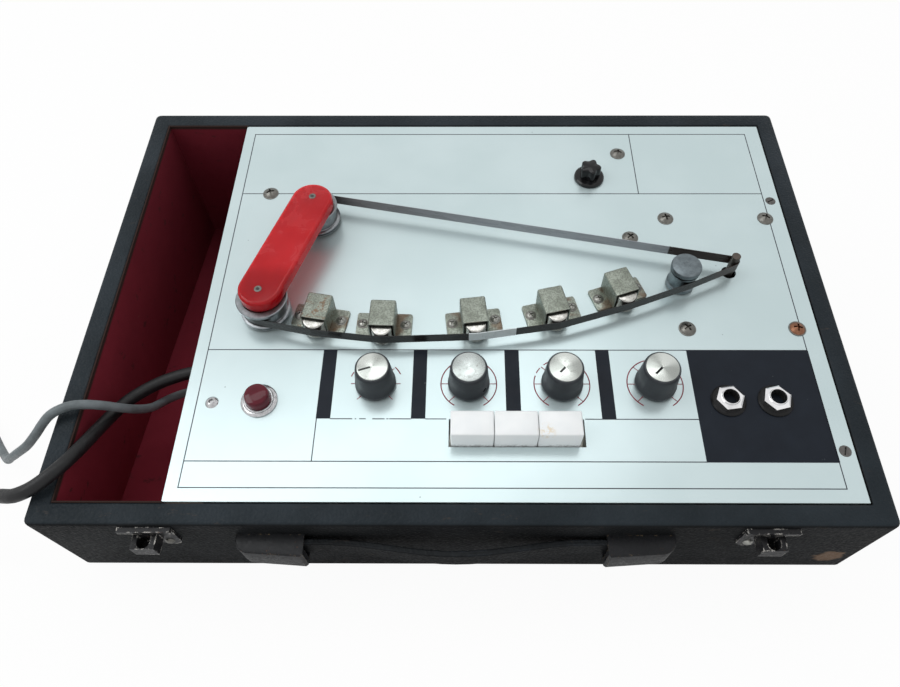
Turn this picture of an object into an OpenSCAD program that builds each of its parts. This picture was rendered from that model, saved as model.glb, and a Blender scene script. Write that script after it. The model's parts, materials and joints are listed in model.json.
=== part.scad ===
// Tape echo unit: a shallow covered case with a sloping base, a sheet-metal control
// panel that carries the tape transport and the controls, and a bay for its two leads.
// Millimetres. Origin: on the surface it stands on, under the middle of the case.

/* [Case] */
// Outside width of the case
case_w = 410; // [408:0.5:412]
// Outside depth of the case, measured along its rim
case_d = 279; // [278:0.5:282]
// Height of the front board below the rim
front_h = 67.5; // [65:0.5:72]
// Angle between the base and the rim, in degrees
slope = 9; // [8:0.5:10]
// Thickness of the four side boards
board_t = 10.9; // [10:0.1:11]
// Radius of the case's upright corners
corner_r = 3.5; // [1:0.5:8]
// Thickness of the base board
base_t = 6; // [4:0.5:7]
// Height of the rubber feet
foot_h = 8; // [5:0.5:12]
// Width of the open bay for the leads
bay_w = 52; // [51:0.5:53]
// Thickness of the cloth that lines the bay
lining_t = 0.8; // [0.5:0.1:1]
// Thickness of the board between the bay and the works
divider_t = 9; // [6:0.5:10]

/* [Control panel] */
// Thickness of the control panel's sheet
panel_t = 1.6; // [1.2:0.1:2]
// How far the control panel's face lies below the rim
panel_recess = 0.5; // [0.3:0.1:1]
// Gap between the control panel and the case's boards
panel_gap = 0.7; // [0.4:0.1:1]

/* [Tape transport] */
// Width of the tape
tape_w = 6.4; // [6.2:0.1:6.4]
// Height of the tape's middle above the panel
tape_z = 8; // [7.8:0.1:8.2]
// Thickness given to the tape
tape_t = 0.3; // [0.2:0.05:0.4]
// Radial gap between the tape and each part that it drives
tape_gap = 0.3; // [0.2:0.05:0.4]
// Radius of the two large pulleys where the tape runs
pulley_r = 11.6; // [11:0.1:11.8]
// Radius of the large pulleys' flanges
flange_r = 13.4; // [13:0.1:13.6]
// Radius of the guide roller where the tape runs
roller_r = 7.3; // [7:0.1:7.5]
// Radius of the motor's spindle, which pulls the tape
spindle_r = 2.4; // [2.2:0.1:2.6]
// Radius of the studs under the large pulleys
stud_r = 3; // [2.5:0.1:3.2]
// Running clearance between a bore and what turns in it
run_gap = 0.06; // [0.03:0.01:0.09]
// Height of the bridge's top above the panel
bridge_top = 22; // [22:0.5:24]
// Width of the bridge
bridge_w = 23.6; // [23:0.2:25]

/* [Heads] */
// Width of a head's can
can_w = 13.8; // [12:0.2:14]
// Depth of a head's can
can_d = 16.4; // [15:0.2:16.4]
// Height of a head's can above the panel
can_h = 14; // [13:0.2:15]
// Radius of a head's polished pole face
pole_r = 5.6; // [5:0.1:5.8]
// Distance between the two screws of a head
ear_pitch = 23.4; // [23:0.1:24]

/* [Controls] */
// Distance between neighbouring knobs
knob_pitch = 48.3; // [48:0.1:48.5]
// Radius of a knob's skirt
knob_r = 10.8; // [10:0.1:11]
// Height of a knob above the panel
knob_h = 18; // [16:0.5:20]
// Radius of the knobs' spindles
pot_shaft_r = 3; // [2.8:0.1:3.2]
// Width of one echo key
key_w = 21.2; // [20.8:0.1:21.3]
// Height of the echo keys above the panel
key_h = 13.2; // [10:0.2:14]
// Radius of the hole for a 6.35 mm jack plug
jack_r = 3.3; // [3.25:0.05:3.4]

/* [Leads] */
// Diameter of the mains lead
grey_d = 4.8; // [4:0.2:6]
// Diameter of the signal lead
black_d = 7; // [5:0.2:7.4]

/* [Hidden] */
$fn = 48;
eps = 0.01;
far = 600;

// Two frames are used. "Base" stands on the feet. "Deck" lies on the panel's face:
// x to the right, y to the rear along the panel, z out of the panel.
rim_z = panel_recess;
front_z = rim_z - front_h;
base_len = case_d / cos(slope);
// Puts the origin under the middle of the case with its front fittings
base_y = -131.6;
inner_w = case_w - 2 * board_t;
inner_d = case_d - 2 * board_t;
bay_x0 = -inner_w / 2;
divider_x = bay_x0 + bay_w + 2.1;
panel_x0 = divider_x - 2;
panel_x1 = inner_w / 2 - panel_gap;
panel_y1 = inner_d / 2 - panel_gap;
under_z = -panel_t;
batten_w = 8.4;

// Places of the parts on the deck, [x, y]
spindle_at = [152.3, 8];
roller_at = [123, -0.2];
arm_pivot_at = [88, 12];
rear_pulley_at = [-86, 46];
front_pulley_at = [-107.4, -19.6];
lamp_at = [-103.5, -74.6];
fuse_at = [79.2, 82];
jacks_at = [[136.6, -74.1], [160.5, -74.2]];
knob_y = -64.4;
knob_x0 = -44.4;
key_x0 = -5.1;
key_y0 = -99.3;
key_d = 13.2;
key_gap = 0.3;
slot_x = [-6.2, 62];
slot_y = [-99.8, -84.6];
// Face centre [x, y] and turn of each head along the tape's run
heads = [
    [-79.5, -37.6, -10], [-42.5, -42, -2], [8.3, -40, 7], [52.5, -33, 13.5],
    [91.5, -20.4, 19.5]
];
motor_bolts = [[122.2, 48.4], [182, 48.4], [122.7, -30.3], [182.3, -30.2]];
board_bolts = [[-118.1, 68.5], [99.4, 102.9], [99.2, 33.5]];
batten_screws = [[188.3, 62.6], [188.7, -101.5]];
chassis_screw_at = [-127.8, -75.4];
bolt_r = 2;
dome_r = 4.45;
nut_af = 12.7;

// Heights in the works under the panel
motor_z = -22;
stator_h = 24;
board_z = -40;
arm_z = -9;
stud_shoulder = bridge_top - 1.8;

// Handle and keepers on the front board, [x range] and heights below the rim
cap_top = -13;
cap_h = 18;
cap_out = 10.8;
cap_l = 33;
cap_skin = 1.4;
cap_inner = [-75, 70];
strap_w = cap_h - 2 * cap_skin - 0.6;
strap_t = 3;
strap_bow = 5.6;
strap_ends = [-85, 80];
keeper_x = [-151.5, 149];
keeper_w = 11.5;
catch_r = 3.1;
rivet_x = 9.8;
foot_recess = 3;

// Leads, on the surface that the unit stands on: where they leave the divider, the way
// they take over the side board, and the coils that they end in
grey_exit = [divider_x, -43.9, 49];
black_exit = [divider_x, -44.9, 66];
grey_route = [
    [-131, -43.9, 49], [-151, -43.9, 49], [-164.9, -52.8, 52.7], [-170, -66.2, 61.7],
    [-174.9, -76.1, 74.8], [-183.7, -81.8, 85.8], [-195.2, -84.9, 89.9],
    [-205.9, -88.9, 87.1], [-215, -92.6, 77.6], [-226, -92.3, 64.8],
    [-239.8, -87.9, 50.1], [-254.6, -80.8, 33.2], [-269.6, -70.2, 15.6],
    [-289.3, -50.1, 5.4], [-312, -22, 2.6], [-330, 3.1, 2.4]
];
grey_middle = [-372, 3.1, 0];
grey_coil_r = 42;
black_route = [
    [-131, -44.9, 66], [-150, -44.9, 66], [-168.3, -52.5, 65.7], [-180.2, -66, 67.9],
    [-185.4, -82.8, 72.6], [-187.6, -99.1, 78.6], [-190, -112.4, 83.3],
    [-194.9, -121.5, 84.4], [-202.5, -127.7, 82.5], [-212, -129.4, 78.7],
    [-222.6, -125.9, 72.3], [-233.8, -121.1, 61.1], [-246.2, -118.7, 46],
    [-261, -119.5, 29.9], [-279.8, -122.3, 16.1], [-304, -125.3, 7.1], [-332, -127, 3.6],
    [-356, -127, 3.5]
];
black_middle = [-356, -86, 0];
black_coil_r = 41;

module in_base() translate([0, base_y, foot_h]) children();
module in_deck()
    in_base() rotate([slope, 0, 0]) translate([0, case_d / 2, -front_z]) children();
module at(p) translate([p[0], p[1], 0]) children();
module span(x, y, z) translate([x[0], y[0], z[0]]) cube([x[1] - x[0], y[1] - y[0], z[1] - z[0]]);
module disc(r, z0, z1) translate([0, 0, z0]) cylinder(r = r, h = z1 - z0);
module hex(af, z0, z1) translate([0, 0, z0]) cylinder(d = af / cos(30), h = z1 - z0, $fn = 6);
module ring(r0, r1, z0, z1) difference() {
    disc(r1, z0, z1);
    disc(r0, z0 - 1, z1 + 1);
}
module rounded(w, d, r) {
    square([w - 2 * r, d], center = true);
    square([w, d - 2 * r], center = true);
    for (sx = [-1, 1], sy = [-1, 1])
        translate([sx * (w / 2 - r), sy * (d / 2 - r)]) circle(r = r);
}
module stadium(r, l) {
    square([2 * r, l], center = true);
    for (s = [-1, 1]) translate([0, s * l / 2]) circle(r = r);
}

// ---------------------------------------------------------------- case

module case_block(z1) in_deck()
    translate([0, 0, -150]) linear_extrude(150 + z1) rounded(case_w, case_d, corner_r);
module base_space(z) in_base() translate([-far / 2, -far / 4, z - far]) cube(far);

// Part of the case block between the base board and a height on the deck
module board(x, y, z1 = rim_z) difference() {
    intersection() {
        case_block(z1);
        in_deck() span(x, y, [-160, far]);
    }
    base_space(base_t);
}

module front_board() color([0.11, 0.12, 0.13])
    board([-far, far], [-far, -inner_d / 2]);
module rear_board() color([0.11, 0.12, 0.13])
    board([-far, far], [inner_d / 2, far]);
module side_boards() color([0.11, 0.12, 0.13]) for (s = [-1, 1])
    board([s < 0 ? -far : inner_w / 2, s < 0 ? -inner_w / 2 : far], [-inner_d / 2, inner_d / 2]);
module base_board() color([0.13, 0.12, 0.11]) intersection() {
    case_block(rim_z);
    difference() {
        base_space(base_t);
        base_space(0);
        foot_places() disc(bolt_r, -1, 4.5);
    }
}
module divider_board() color([0.5, 0.38, 0.25]) difference() {
    board([divider_x, divider_x + divider_t], [-inner_d / 2, inner_d / 2], under_z);
    for (e = [grey_exit, black_exit])
        translate(e) rotate([0, 90, 0]) cylinder(r = 5, h = 3 * divider_t, center = true);
}
module bay_lining() color([0.3, 0.03, 0.06]) difference() {
    intersection() {
        in_deck() span([bay_x0, divider_x], [-inner_d / 2, inner_d / 2], [-150, rim_z]);
        case_block(rim_z);
    }
    difference() {
        in_deck() span([bay_x0 + lining_t, divider_x - lining_t],
            [-inner_d / 2 + lining_t, inner_d / 2 - lining_t], [-150, far]);
        base_space(base_t + lining_t);
    }
    base_space(base_t);
    in_deck() span([divider_x - 2 * lining_t, divider_x + 1], [-far, far], [under_z, far]);
    for (e = [grey_exit, black_exit])
        translate(e) rotate([0, 90, 0]) cylinder(r = 5, h = 3 * divider_t, center = true);
}
module panel_battens() color([0.72, 0.56, 0.36]) in_deck() difference() {
    union() {
        span([divider_x + divider_t, divider_x + divider_t + batten_w], [-inner_d / 2, inner_d / 2],
            [-17, under_z]);
        for (s = batten_screws)
            span([184.4, inner_w / 2], [s[1] - 7, s[1] + 20], [-17, under_z]);
    }
    for (p = concat(batten_screws, [chassis_screw_at])) at(p) disc(1.6, -14, 1);
}

module foot_places() for (x = [-1, 1], y = [20, base_len - 20])
    in_base() translate([x * (case_w / 2 - 24), y, 0]) children();
module rubber_feet() color([0.05, 0.05, 0.05]) foot_places() difference() {
    translate([0, 0, -foot_h]) cylinder(r1 = 8, r2 = 9.5, h = foot_h);
    disc(4, -foot_h - 1, foot_recess - foot_h);
    disc(bolt_r, -foot_h, 1);
}
// Foot screws, the keepers' rivets and the chrome screw that holds the panel's left edge
module case_fixings() color([0.75, 0.75, 0.74]) {
    foot_places() {
        disc(3.6, foot_recess - foot_h - 1.8, foot_recess - foot_h);
        disc(bolt_r, foot_recess - foot_h - eps, 4.5);
    }
    for (x = keeper_x) keeper_frame(x) translate([sign(x) * -rivet_x, -20, 0]) dome(2.6, 1.4, 1.2);
    in_deck() at(chassis_screw_at) {
        dome(3.4, 1.6, 0);
        disc(1.5, -12, 0.5);
    }
}
// A shallow domed head on a short neck, standing on z
module dome(r, h, z) translate([0, 0, z]) intersection() {
    translate([0, 0, h - (r * r + h * h) / (2 * h)]) sphere(r = (r * r + h * h) / (2 * h));
    disc(r, 0, h + 1);
}

// Frame on the front board's face: x along the rim, y up from the rim's front edge, z out
module front_frame() in_deck() translate([0, -case_d / 2, rim_z]) rotate([90, 0, 0]) children();
module keeper_frame(x) front_frame() translate([x, 0, 0]) children();

// The end caps hold the strap's ends and let it slide a little
module handle_end_caps() color([0.09, 0.09, 0.1]) for (i = [0, 1]) end_cap(cap_inner[i]);
module end_cap(x) {
    s = sign(x);
    front_frame() translate([x, cap_top, 0]) difference() {
        rotate([90, 0, 0]) linear_extrude(cap_h) polygon([
            [0, 0], [0, cap_out - 1.2], [s * 1.2, cap_out], [s * (cap_l - 5), cap_out - 1.8],
            [s * (cap_l - 1.5), cap_out - 4], [s * cap_l, cap_out - 7.4], [s * cap_l, 0]
        ]);
        translate([s > 0 ? -1 : -22, cap_skin - cap_h, -1])
            cube([23, cap_h - 2 * cap_skin, 7.6]);
    }
}
// Height of the strap's inner face above the front board, at a fraction along it
function bow(f) = 1.6 + strap_bow * pow(sin(180 * min(1, max(0, 1.3 * f - 0.15))), 2);
module handle_strap() color([0.1, 0.1, 0.11]) {
    l = strap_ends[1] - strap_ends[0];
    front_frame() translate([strap_ends[0], cap_top - cap_skin - 0.3, 0]) rotate([90, 0, 0])
        linear_extrude(strap_w) polygon(concat(
            [for (i = [0:24]) [l * i / 24, bow(i / 24)]],
            [for (i = [24:-1:0]) [l * i / 24, bow(i / 24) + strap_t]]));
}

module lid_keepers() color([0.12, 0.12, 0.13])
    for (x = keeper_x) keeper_frame(x) mirror([x < 0 ? 1 : 0, 0, 0]) keeper();
// Back plate, top flange and the box whose hole takes the lid's catch
module keeper() difference() {
    union() {
        linear_extrude(1.2) {
            polygon([
                [-15.4, -2.8], [9.7, -2.8], [9.7, -6], [5.4, -9], [5.4, -18.5], [-7.5, -18.5],
                [-9.8, -25.4], [-15.2, -20]
            ]);
            translate([-rivet_x, -20]) circle(r = 5.4);
        }
        translate([-7.5, -17.5, 0]) cube([keeper_w, 9, 8.8]);
        translate([-15.4, -5.4, 0]) cube([25.1, 2.6, 2.6]);
    }
    translate([keeper_w / 2 - 7.5, -8, 5.4]) rotate([90, 0, 0]) {
        disc(catch_r, -1, 8.2);
        translate([-catch_r, -3, -1]) cube([2 * catch_r, 3, 9.2]);
    }
}

// ---------------------------------------------------------------- panel

module control_panel() color([0.78, 0.82, 0.84]) in_deck() difference() {
    span([panel_x0, panel_x1], [-panel_y1, panel_y1], [under_z, 0]);
    span(slot_x, slot_y, [-5, 5]);
    at(spindle_at) disc(4.2, -5, 5);
    at(roller_at) translate([0.6, 1.3, 0]) disc(5.2, -5, 5);
    for (p = [rear_pulley_at, front_pulley_at]) at(p) disc(stud_r, -5, 5);
    at(arm_pivot_at) disc(2, -5, -0.8);
    for (i = [0:3]) at(knob_at(i)) disc(4.7, -5, 5);
    for (p = jacks_at) at(p) disc(4.75, -5, 5);
    at(lamp_at) disc(6, -5, 5);
    at(fuse_at) disc(6.4, -5, 5);
    for (p = concat(motor_bolts, board_bolts)) at(p) disc(bolt_r, -5, 5);
    for (p = batten_screws) at(p) {
        disc(1.5, -5, 5);
        translate([0, 0, -1.5]) cylinder(r1 = 1.5, r2 = 3.1, h = 1.6);
    }
    at(chassis_screw_at) disc(1.5, -5, 5);
    head_places() ear_places() disc(1.3, -5, 5);
}
function knob_at(i) = [knob_x0 + i * knob_pitch, knob_y];

// Screws through the panel, with the spacer tubes under it
module panel_screws() color([0.33, 0.28, 0.22]) in_deck() {
    for (p = motor_bolts) at(p) hung_bolt(motor_z);
    for (p = board_bolts) at(p) hung_bolt(board_z);
    for (p = batten_screws) at(p) {
        translate([0, 0, -1.5]) cylinder(r1 = 1.5, r2 = 3.1, h = 1.6);
        disc(1.5, -13, -1.4);
    }
}
module hung_bolt(z) {
    dome(dome_r, 2.4, 0);
    disc(bolt_r, z - 6, 0.5);
    ring(bolt_r + 0.1, 4, z, under_z);
    translate([0, 0, z - 5.4]) difference() {
        hex(7, 0, 3.2);
        disc(bolt_r - eps, -1, 4);
    }
}

// ---------------------------------------------------------------- motor

module motor_frame() color([0.45, 0.46, 0.47]) in_deck() {
    difference() {
        union() {
            translate([0, 0, motor_z - 2]) linear_extrude(2)
                translate([152.3, 9]) rounded(70, 88, 5);
            at(spindle_at) disc(9, motor_z - 2, motor_z + 4);
        }
        at(spindle_at) disc(spindle_r + run_gap, motor_z - 3, motor_z + 5);
        for (p = motor_bolts) at(p) disc(bolt_r, motor_z - 3, motor_z + 1);
    }
    // Lower bell: a cup under the stator with the second bearing
    at(spindle_at) difference() {
        union() {
            for (s = [-1, 1]) translate([s * 26, 0, motor_z - stator_h - 14])
                translate([-4, -6, 0]) cube([8, 12, 12]);
            translate([-30, -8, motor_z - stator_h - 18]) cube([60, 16, 4]);
            disc(8, motor_z - stator_h - 18, motor_z - stator_h - 12);
        }
        disc(spindle_r + run_gap, -far, motor_z - stator_h - 5);
    }
}
module motor_stator() color([0.3, 0.29, 0.28]) in_deck() at(spindle_at) {
    difference() {
        translate([-30, -27, motor_z - 2 - stator_h]) cube([60, 54, stator_h]);
        disc(14, -far, 0);
        translate([-30 + 12, -27 + 7, -far]) cube([8, 40, 2 * far]);
        translate([30 - 20, -27 + 7, -far]) cube([8, 40, 2 * far]);
    }
}
module motor_rotor() color([0.36, 0.3, 0.26]) in_deck() at(spindle_at) {
    disc(spindle_r, motor_z - stator_h - 17, 15);
    disc(13.4, motor_z - stator_h, motor_z - 4);
    disc(5.5, motor_z - 3.6, motor_z - 2.4);
}

// ---------------------------------------------------------------- tension arm and roller

module guide_roller() color([0.5, 0.52, 0.53]) in_deck() at(roller_at) difference() {
    rotate_extrude() polygon([
        [0, 0.8], [7.9, 0.8], [7.9, 3.6], [roller_r, 4], [roller_r, 12], [7.9, 12.4],
        [7.9, 13.4], [6, 13.6], [6, 14.4], [8, 14.4], [8.3, 14.8], [8.3, 17], [7.7, 17.6],
        [0, 17.6]
    ]);
    disc(2.5 + run_gap, 0, 15.4);
}
arm_l = norm(roller_at - arm_pivot_at);
arm_turn = atan2(roller_at[1] - arm_pivot_at[1], roller_at[0] - arm_pivot_at[0]);
module tension_arm() color([0.6, 0.6, 0.56]) in_deck() at(arm_pivot_at) rotate(arm_turn) {
    difference() {
        translate([arm_l / 2, 0, arm_z - 2]) linear_extrude(2) rotate(90) stadium(5, arm_l);
        disc(3 + run_gap, -far, 0);
    }
    translate([arm_l, 0, 0]) {
        disc(2.5, arm_z - 1, 15.2);
        disc(3.6, arm_z - eps, 0.4);
    }
    translate([12, 4, arm_z]) disc(1, -0.1, 2.4);
}
// Torsion spring round the pivot: its two legs press on the arm's peg and the panel's peg
spring_r = 4.2;
spring_wire = 0.5;
spring_turns = 3;
module tension_spring() color([0.7, 0.7, 0.68]) in_deck() at(arm_pivot_at) rotate(arm_turn)
    tube([for (i = [0:spring_turns * 12])
        let (a = -30 * i) [spring_r * cos(a + 60), spring_r * sin(a + 60),
            -3.4 - i * 4.2 / (spring_turns * 12)]],
        spring_wire, 6);

// Studs of the large pulleys with their nuts, the arm's pivot stud, and the bridge's eyelets
module transport_studs() color([0.7, 0.68, 0.6]) in_deck() {
    for (p = [rear_pulley_at, front_pulley_at]) at(p) {
        disc(stud_r, -9, stud_shoulder);
        ring(stud_r, 5.4, 0, 0.9);
        difference() {
            hex(10, under_z - 3.6, under_z);
            disc(stud_r - eps, -far, 0);
        }
        disc(1.5, stud_shoulder - eps, bridge_top);
        ring(0.9, 2.5, bridge_top, bridge_top + 0.5);
    }
    at(arm_pivot_at) {
        disc(2, under_z - 0.4, -0.8);
        disc(3, -12.4, under_z);
        disc(4.6, -13.6, -12.4);
    }
}
module pulley(p, top_r) in_deck() at(p) difference() {
    rotate_extrude() polygon([
        [0, 1.2], [flange_r - 0.4, 1.2], [flange_r, 1.6], [flange_r, 3.2], [pulley_r, 4],
        [pulley_r, 12.2], [top_r, 12.8], [top_r, 14.2], [top_r - 0.4, 14.6], [6, 14.6],
        [6, 15.6], [0, 15.6]
    ]);
    disc(stud_r + run_gap, 0, 20);
}
module rear_pulley() color([0.66, 0.67, 0.68]) pulley(rear_pulley_at, 12.9);
module front_pulley() color([0.66, 0.67, 0.68]) pulley(front_pulley_at, flange_r + 0.4);

module pulley_bridge() color([0.8, 0.05, 0.08]) {
    mid = (rear_pulley_at + front_pulley_at) / 2;
    run = rear_pulley_at - front_pulley_at;
    in_deck() at(mid) rotate(atan2(run[1], run[0]) - 90) difference() {
        translate([0, 0, 15.2]) linear_extrude(bridge_top - 15.2) stadium(bridge_w / 2, 65);
        translate([0, 0, 15.2 - 1]) linear_extrude(stud_shoulder - 15.2 + 1)
            stadium(bridge_w / 2 - 1.6, 65);
        for (s = [-1, 1]) translate([0, s * norm(run) / 2, 0]) disc(1.5, 0, far);
    }
}

// The loop is the tight band round the pulleys, the roller, the spindle and the heads' faces
module loop_outline(gap) hull() {
    at(rear_pulley_at) circle(r = pulley_r + gap, $fn = 72);
    at(front_pulley_at) circle(r = pulley_r + gap, $fn = 72);
    at(roller_at) circle(r = roller_r + gap, $fn = 48);
    at(spindle_at) circle(r = spindle_r + gap, $fn = 32);
    for (h = heads) at([h[0], h[1]]) circle(r = gap, $fn = 16);
}
module tape_loop() color([0.14, 0.1, 0.08]) in_deck()
    translate([0, 0, tape_z - tape_w / 2]) linear_extrude(tape_w) difference() {
        loop_outline(tape_gap + tape_t);
        loop_outline(tape_gap);
    }

// ---------------------------------------------------------------- heads

module head_place(i) at([heads[i][0], heads[i][1]]) rotate(heads[i][2]) children();
module head_places() for (i = [0:4]) head_place(i) children();
module ear_places() for (s = [-1, 1]) translate([s * ear_pitch / 2, 13.5, 0]) children();
// Each head's frame has its origin at the pole face, with y to the rear
module head(i) color([0.5, 0.52, 0.47]) in_deck() head_place(i) difference() {
    union() {
        translate([0, 13.5, 0]) linear_extrude(1.5) rounded(30.2, 14.4, 1.6);
        translate([0, 5 + can_d / 2, 0]) linear_extrude(can_h) rounded(can_w, can_d, 1.2);
    }
    translate([-can_w / 2 + 0.8, 4, -1]) cube([can_w - 1.6, can_d, can_h]);
    ear_places() disc(1.3, -5, 5);
}
module head_cores() color([0.7, 0.7, 0.68]) in_deck() head_places() {
    translate([0, pole_r, 0]) disc(pole_r, 1.8, 11.8);
    translate([-can_w / 2 + 0.9, 5.6, 0.4]) cube([can_w - 1.8, can_d - 1.8, 12.5]);
}
module head_screws() color([0.55, 0.54, 0.5]) in_deck() head_places() ear_places() {
    dome(2.5, 1.6, 1.5);
    disc(1.3, -6, 2);
}

// ---------------------------------------------------------------- controls

module knob(i) color([0.04, 0.04, 0.05]) in_deck() at(knob_at(i)) {
    difference() {
        rotate_extrude() polygon([
            [0, 0.8], [knob_r - 0.3, 0.8], [knob_r, 1.1], [knob_r - 0.3, 8.6],
            [knob_r - 1.1, 9.6], [knob_r - 1.6, knob_h - 0.5], [knob_r - 2, knob_h],
            [knob_r - 2.2, knob_h], [knob_r - 2.2, knob_h - 1], [0, knob_h - 1]
        ]);
        disc(5.6, 0, 5.4);
        rotate(-35) translate([0, 0, 4.2]) rotate([90, 0, 0]) cylinder(r = 1.5, h = 12);
    }
    disc(pot_shaft_r, -6, knob_h - 2);
}
module knob_cap(i) color([0.82, 0.83, 0.84]) in_deck() at(knob_at(i))
    disc(knob_r - 2.3, knob_h - 1, knob_h + 0.1);
module potentiometers() color([0.55, 0.55, 0.52]) in_deck() for (i = [0:3]) at(knob_at(i))
    difference() {
        union() {
            disc(12, -13.6, under_z);
            disc(4.6, under_z - eps, 3.6);
            hex(9, 0, 2.6);
            translate([-7, -17, -9]) cube([14, 8, 1.2]);
        }
        disc(pot_shaft_r + run_gap, -7, 5);
    }

module echo_key(i) color([0.95, 0.95, 0.94]) in_deck()
    translate([key_x0 + i * (key_w + key_gap), key_y0, 0]) {
        translate([0, 0, -4.6]) cube([key_w, key_d, 4.6 + key_h]);
        translate([key_w / 2 - 3, 3.6, -20]) cube([6, 6, 16]);
    }
module switch_frame() color([0.6, 0.6, 0.58]) in_deck() difference() {
    span([-9.2, 65], [-106, -82], [-34, under_z]);
    span([slot_x[0], slot_x[1]], slot_y, [-10, 0]);
    for (i = [0:2]) translate([key_x0 + i * (key_w + key_gap) + key_w / 2 - 3.3, key_y0 + 3.3, -26])
        cube([6.6, 6.6, 20]);
}

module lamp_bezel() color([0.85, 0.85, 0.86]) in_deck() at(lamp_at) difference() {
    union() {
        rotate_extrude() polygon([[0, 0], [9.4, 0], [9.4, 1.2], [8, 2.6], [7.4, 2.8], [0, 2.8]]);
        disc(6, -26, 0.5);
        ring(5.9, 9, under_z - 3, under_z);
    }
    disc(5.2, -24, 4);
}
module lamp_lens() color([0.45, 0.02, 0.04]) in_deck() at(lamp_at) {
    disc(5.1, -2, 2.9);
    disc(6.5, 2.8, 6.2);
    dome(6.5, 2.4, 6.2);
}
module fuse_holder() color([0.05, 0.05, 0.05]) in_deck() at(fuse_at) difference() {
    union() {
        disc(8.4, 0, 2.2);
        disc(6.4, -34, 0.5);
        ring(6.3, 8.6, under_z - 3.4, under_z);
    }
    disc(4.7, -30, 4);
}
module fuse_cap() color([0.04, 0.04, 0.04]) in_deck() at(fuse_at) {
    difference() {
        disc(6.4, 2.5, 9.4);
        for (a = [0:60:359]) rotate(a) translate([8, 0, 0]) disc(2.6, 2, 12);
    }
    disc(4.5, -6, 2.6);
    disc(2.5, -28, -5.9);
}

module jack_places() for (p = jacks_at) at(p) children();
module jack_nuts() color([0.88, 0.88, 0.88]) in_deck() jack_places() difference() {
    hex(nut_af, 1.2, 3.8);
    disc(4.75, 0, 5);
}
// Black washer, threaded sleeve and the insulated body of each input socket
module jack_sockets() color([0.06, 0.06, 0.07]) in_deck() jack_places() difference() {
    union() {
        disc(8.7, 0, 1.2);
        disc(4.75, under_z - 1, 4.6);
        translate([-9, -11, -24]) cube([18, 22, 24 + under_z]);
    }
    disc(jack_r, -20, 5);
}

// ---------------------------------------------------------------- electronics

module transformer() color([0.35, 0.33, 0.3]) in_base() translate([-60, 130, base_t]) {
    translate([-28, -24, 0]) cube([56, 48, 2]);
    translate([-28, -14, 2 - eps]) cube([56, 28, 46]);
    difference() {
        translate([-19, -23, 8]) cube([38, 46, 30]);
        translate([-28, -14 + eps, 0]) cube([56, 28 - 2 * eps, 50]);
    }
}
module circuit_board() color([0.45, 0.33, 0.18]) in_deck() {
    difference() {
        span([-124, 106], [26, 111], [board_z - 1.6, board_z]);
        for (p = board_bolts) at(p) disc(bolt_r, board_z - 3, board_z + 1);
    }
    for (i = [0:5]) translate([-90 + 26 * i, 60, board_z - eps]) cylinder(r = 5, h = 18);
    for (i = [0:7]) translate([-100 + 22 * i, 92, board_z - eps]) cylinder(r = 3, h = 11);
}

// ---------------------------------------------------------------- leads

// A tube along a list of points, as one closed polyhedron
function unit(v) = v / norm(v);
function tangent(p, i) = unit(p[min(i + 1, len(p) - 1)] - p[max(i - 1, 0)]);
function side_of(t) = unit(cross(t, abs(t[2]) > 0.9 ? [1, 0, 0] : [0, 0, 1]));
module tube(p, r, n) {
    m = len(p);
    rings = [for (i = [0:m - 1]) let (t = tangent(p, i), s = side_of(t), u = cross(s, t))
        [for (k = [0:n - 1]) p[i] + r * (cos(360 * k / n) * s + sin(360 * k / n) * u)]];
    polyhedron(
        points = [for (ring_points = rings) for (q = ring_points) q],
        faces = concat(
            [[for (k = [0:n - 1]) k]],
            [[for (k = [n - 1:-1:0]) (m - 1) * n + k]],
            [for (i = [0:m - 2], k = [0:n - 1])
                [i * n + (k + 1) % n, i * n + k, (i + 1) * n + k, (i + 1) * n + (k + 1) % n]]
        ));
}
// Puts one more point between each two, on a smooth curve through them all
function more_points(p) = let (m = len(p) - 1) concat([for (i = [0:m - 1]) each [p[i],
    (9 * (p[i] + p[i + 1]) - p[max(i - 1, 0)] - p[min(i + 2, m)]) / 16]], [p[m]]);
module lead(points, d) tube(more_points(more_points(points)), d / 2, 12);
module coil(middle, r, d, turns) translate([middle[0], middle[1], 0]) rotate_extrude() {
    for (i = [0:turns - 1], j = [0.5, 1.5]) translate([r - i * d, j * d]) circle(d = d, $fn = 12);
    translate([r - (turns - 1) * d, d / 2]) square([(turns - 1) * d, d]);
}

// A flanged rubber sleeve round each lead where it passes through the divider board
module lead_grommets() color([0.05, 0.05, 0.05])
    for (e = [[grey_exit, grey_d], [black_exit, black_d]])
        translate(e[0]) rotate([0, -90, 0]) difference() {
            union() {
                disc(5, -divider_t, lining_t);
                disc(7, lining_t, 2.8);
                translate([0, 0, 2.8 - eps]) cylinder(r1 = 5, r2 = e[1] / 2 + 0.8, h = 8);
            }
            disc(e[1] / 2, -far, far);
        }

module grey_lead() color([0.62, 0.62, 0.6]) {
    lead(grey_route, grey_d);
    lead([grey_middle + [0, grey_coil_r, 1.5 * grey_d], grey_middle + [-20, grey_coil_r, 8.2],
        grey_middle + [-43, grey_coil_r, 9]], grey_d);
}
module grey_coil() color([0.62, 0.62, 0.6]) coil(grey_middle, grey_coil_r, grey_d, 4);
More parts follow.
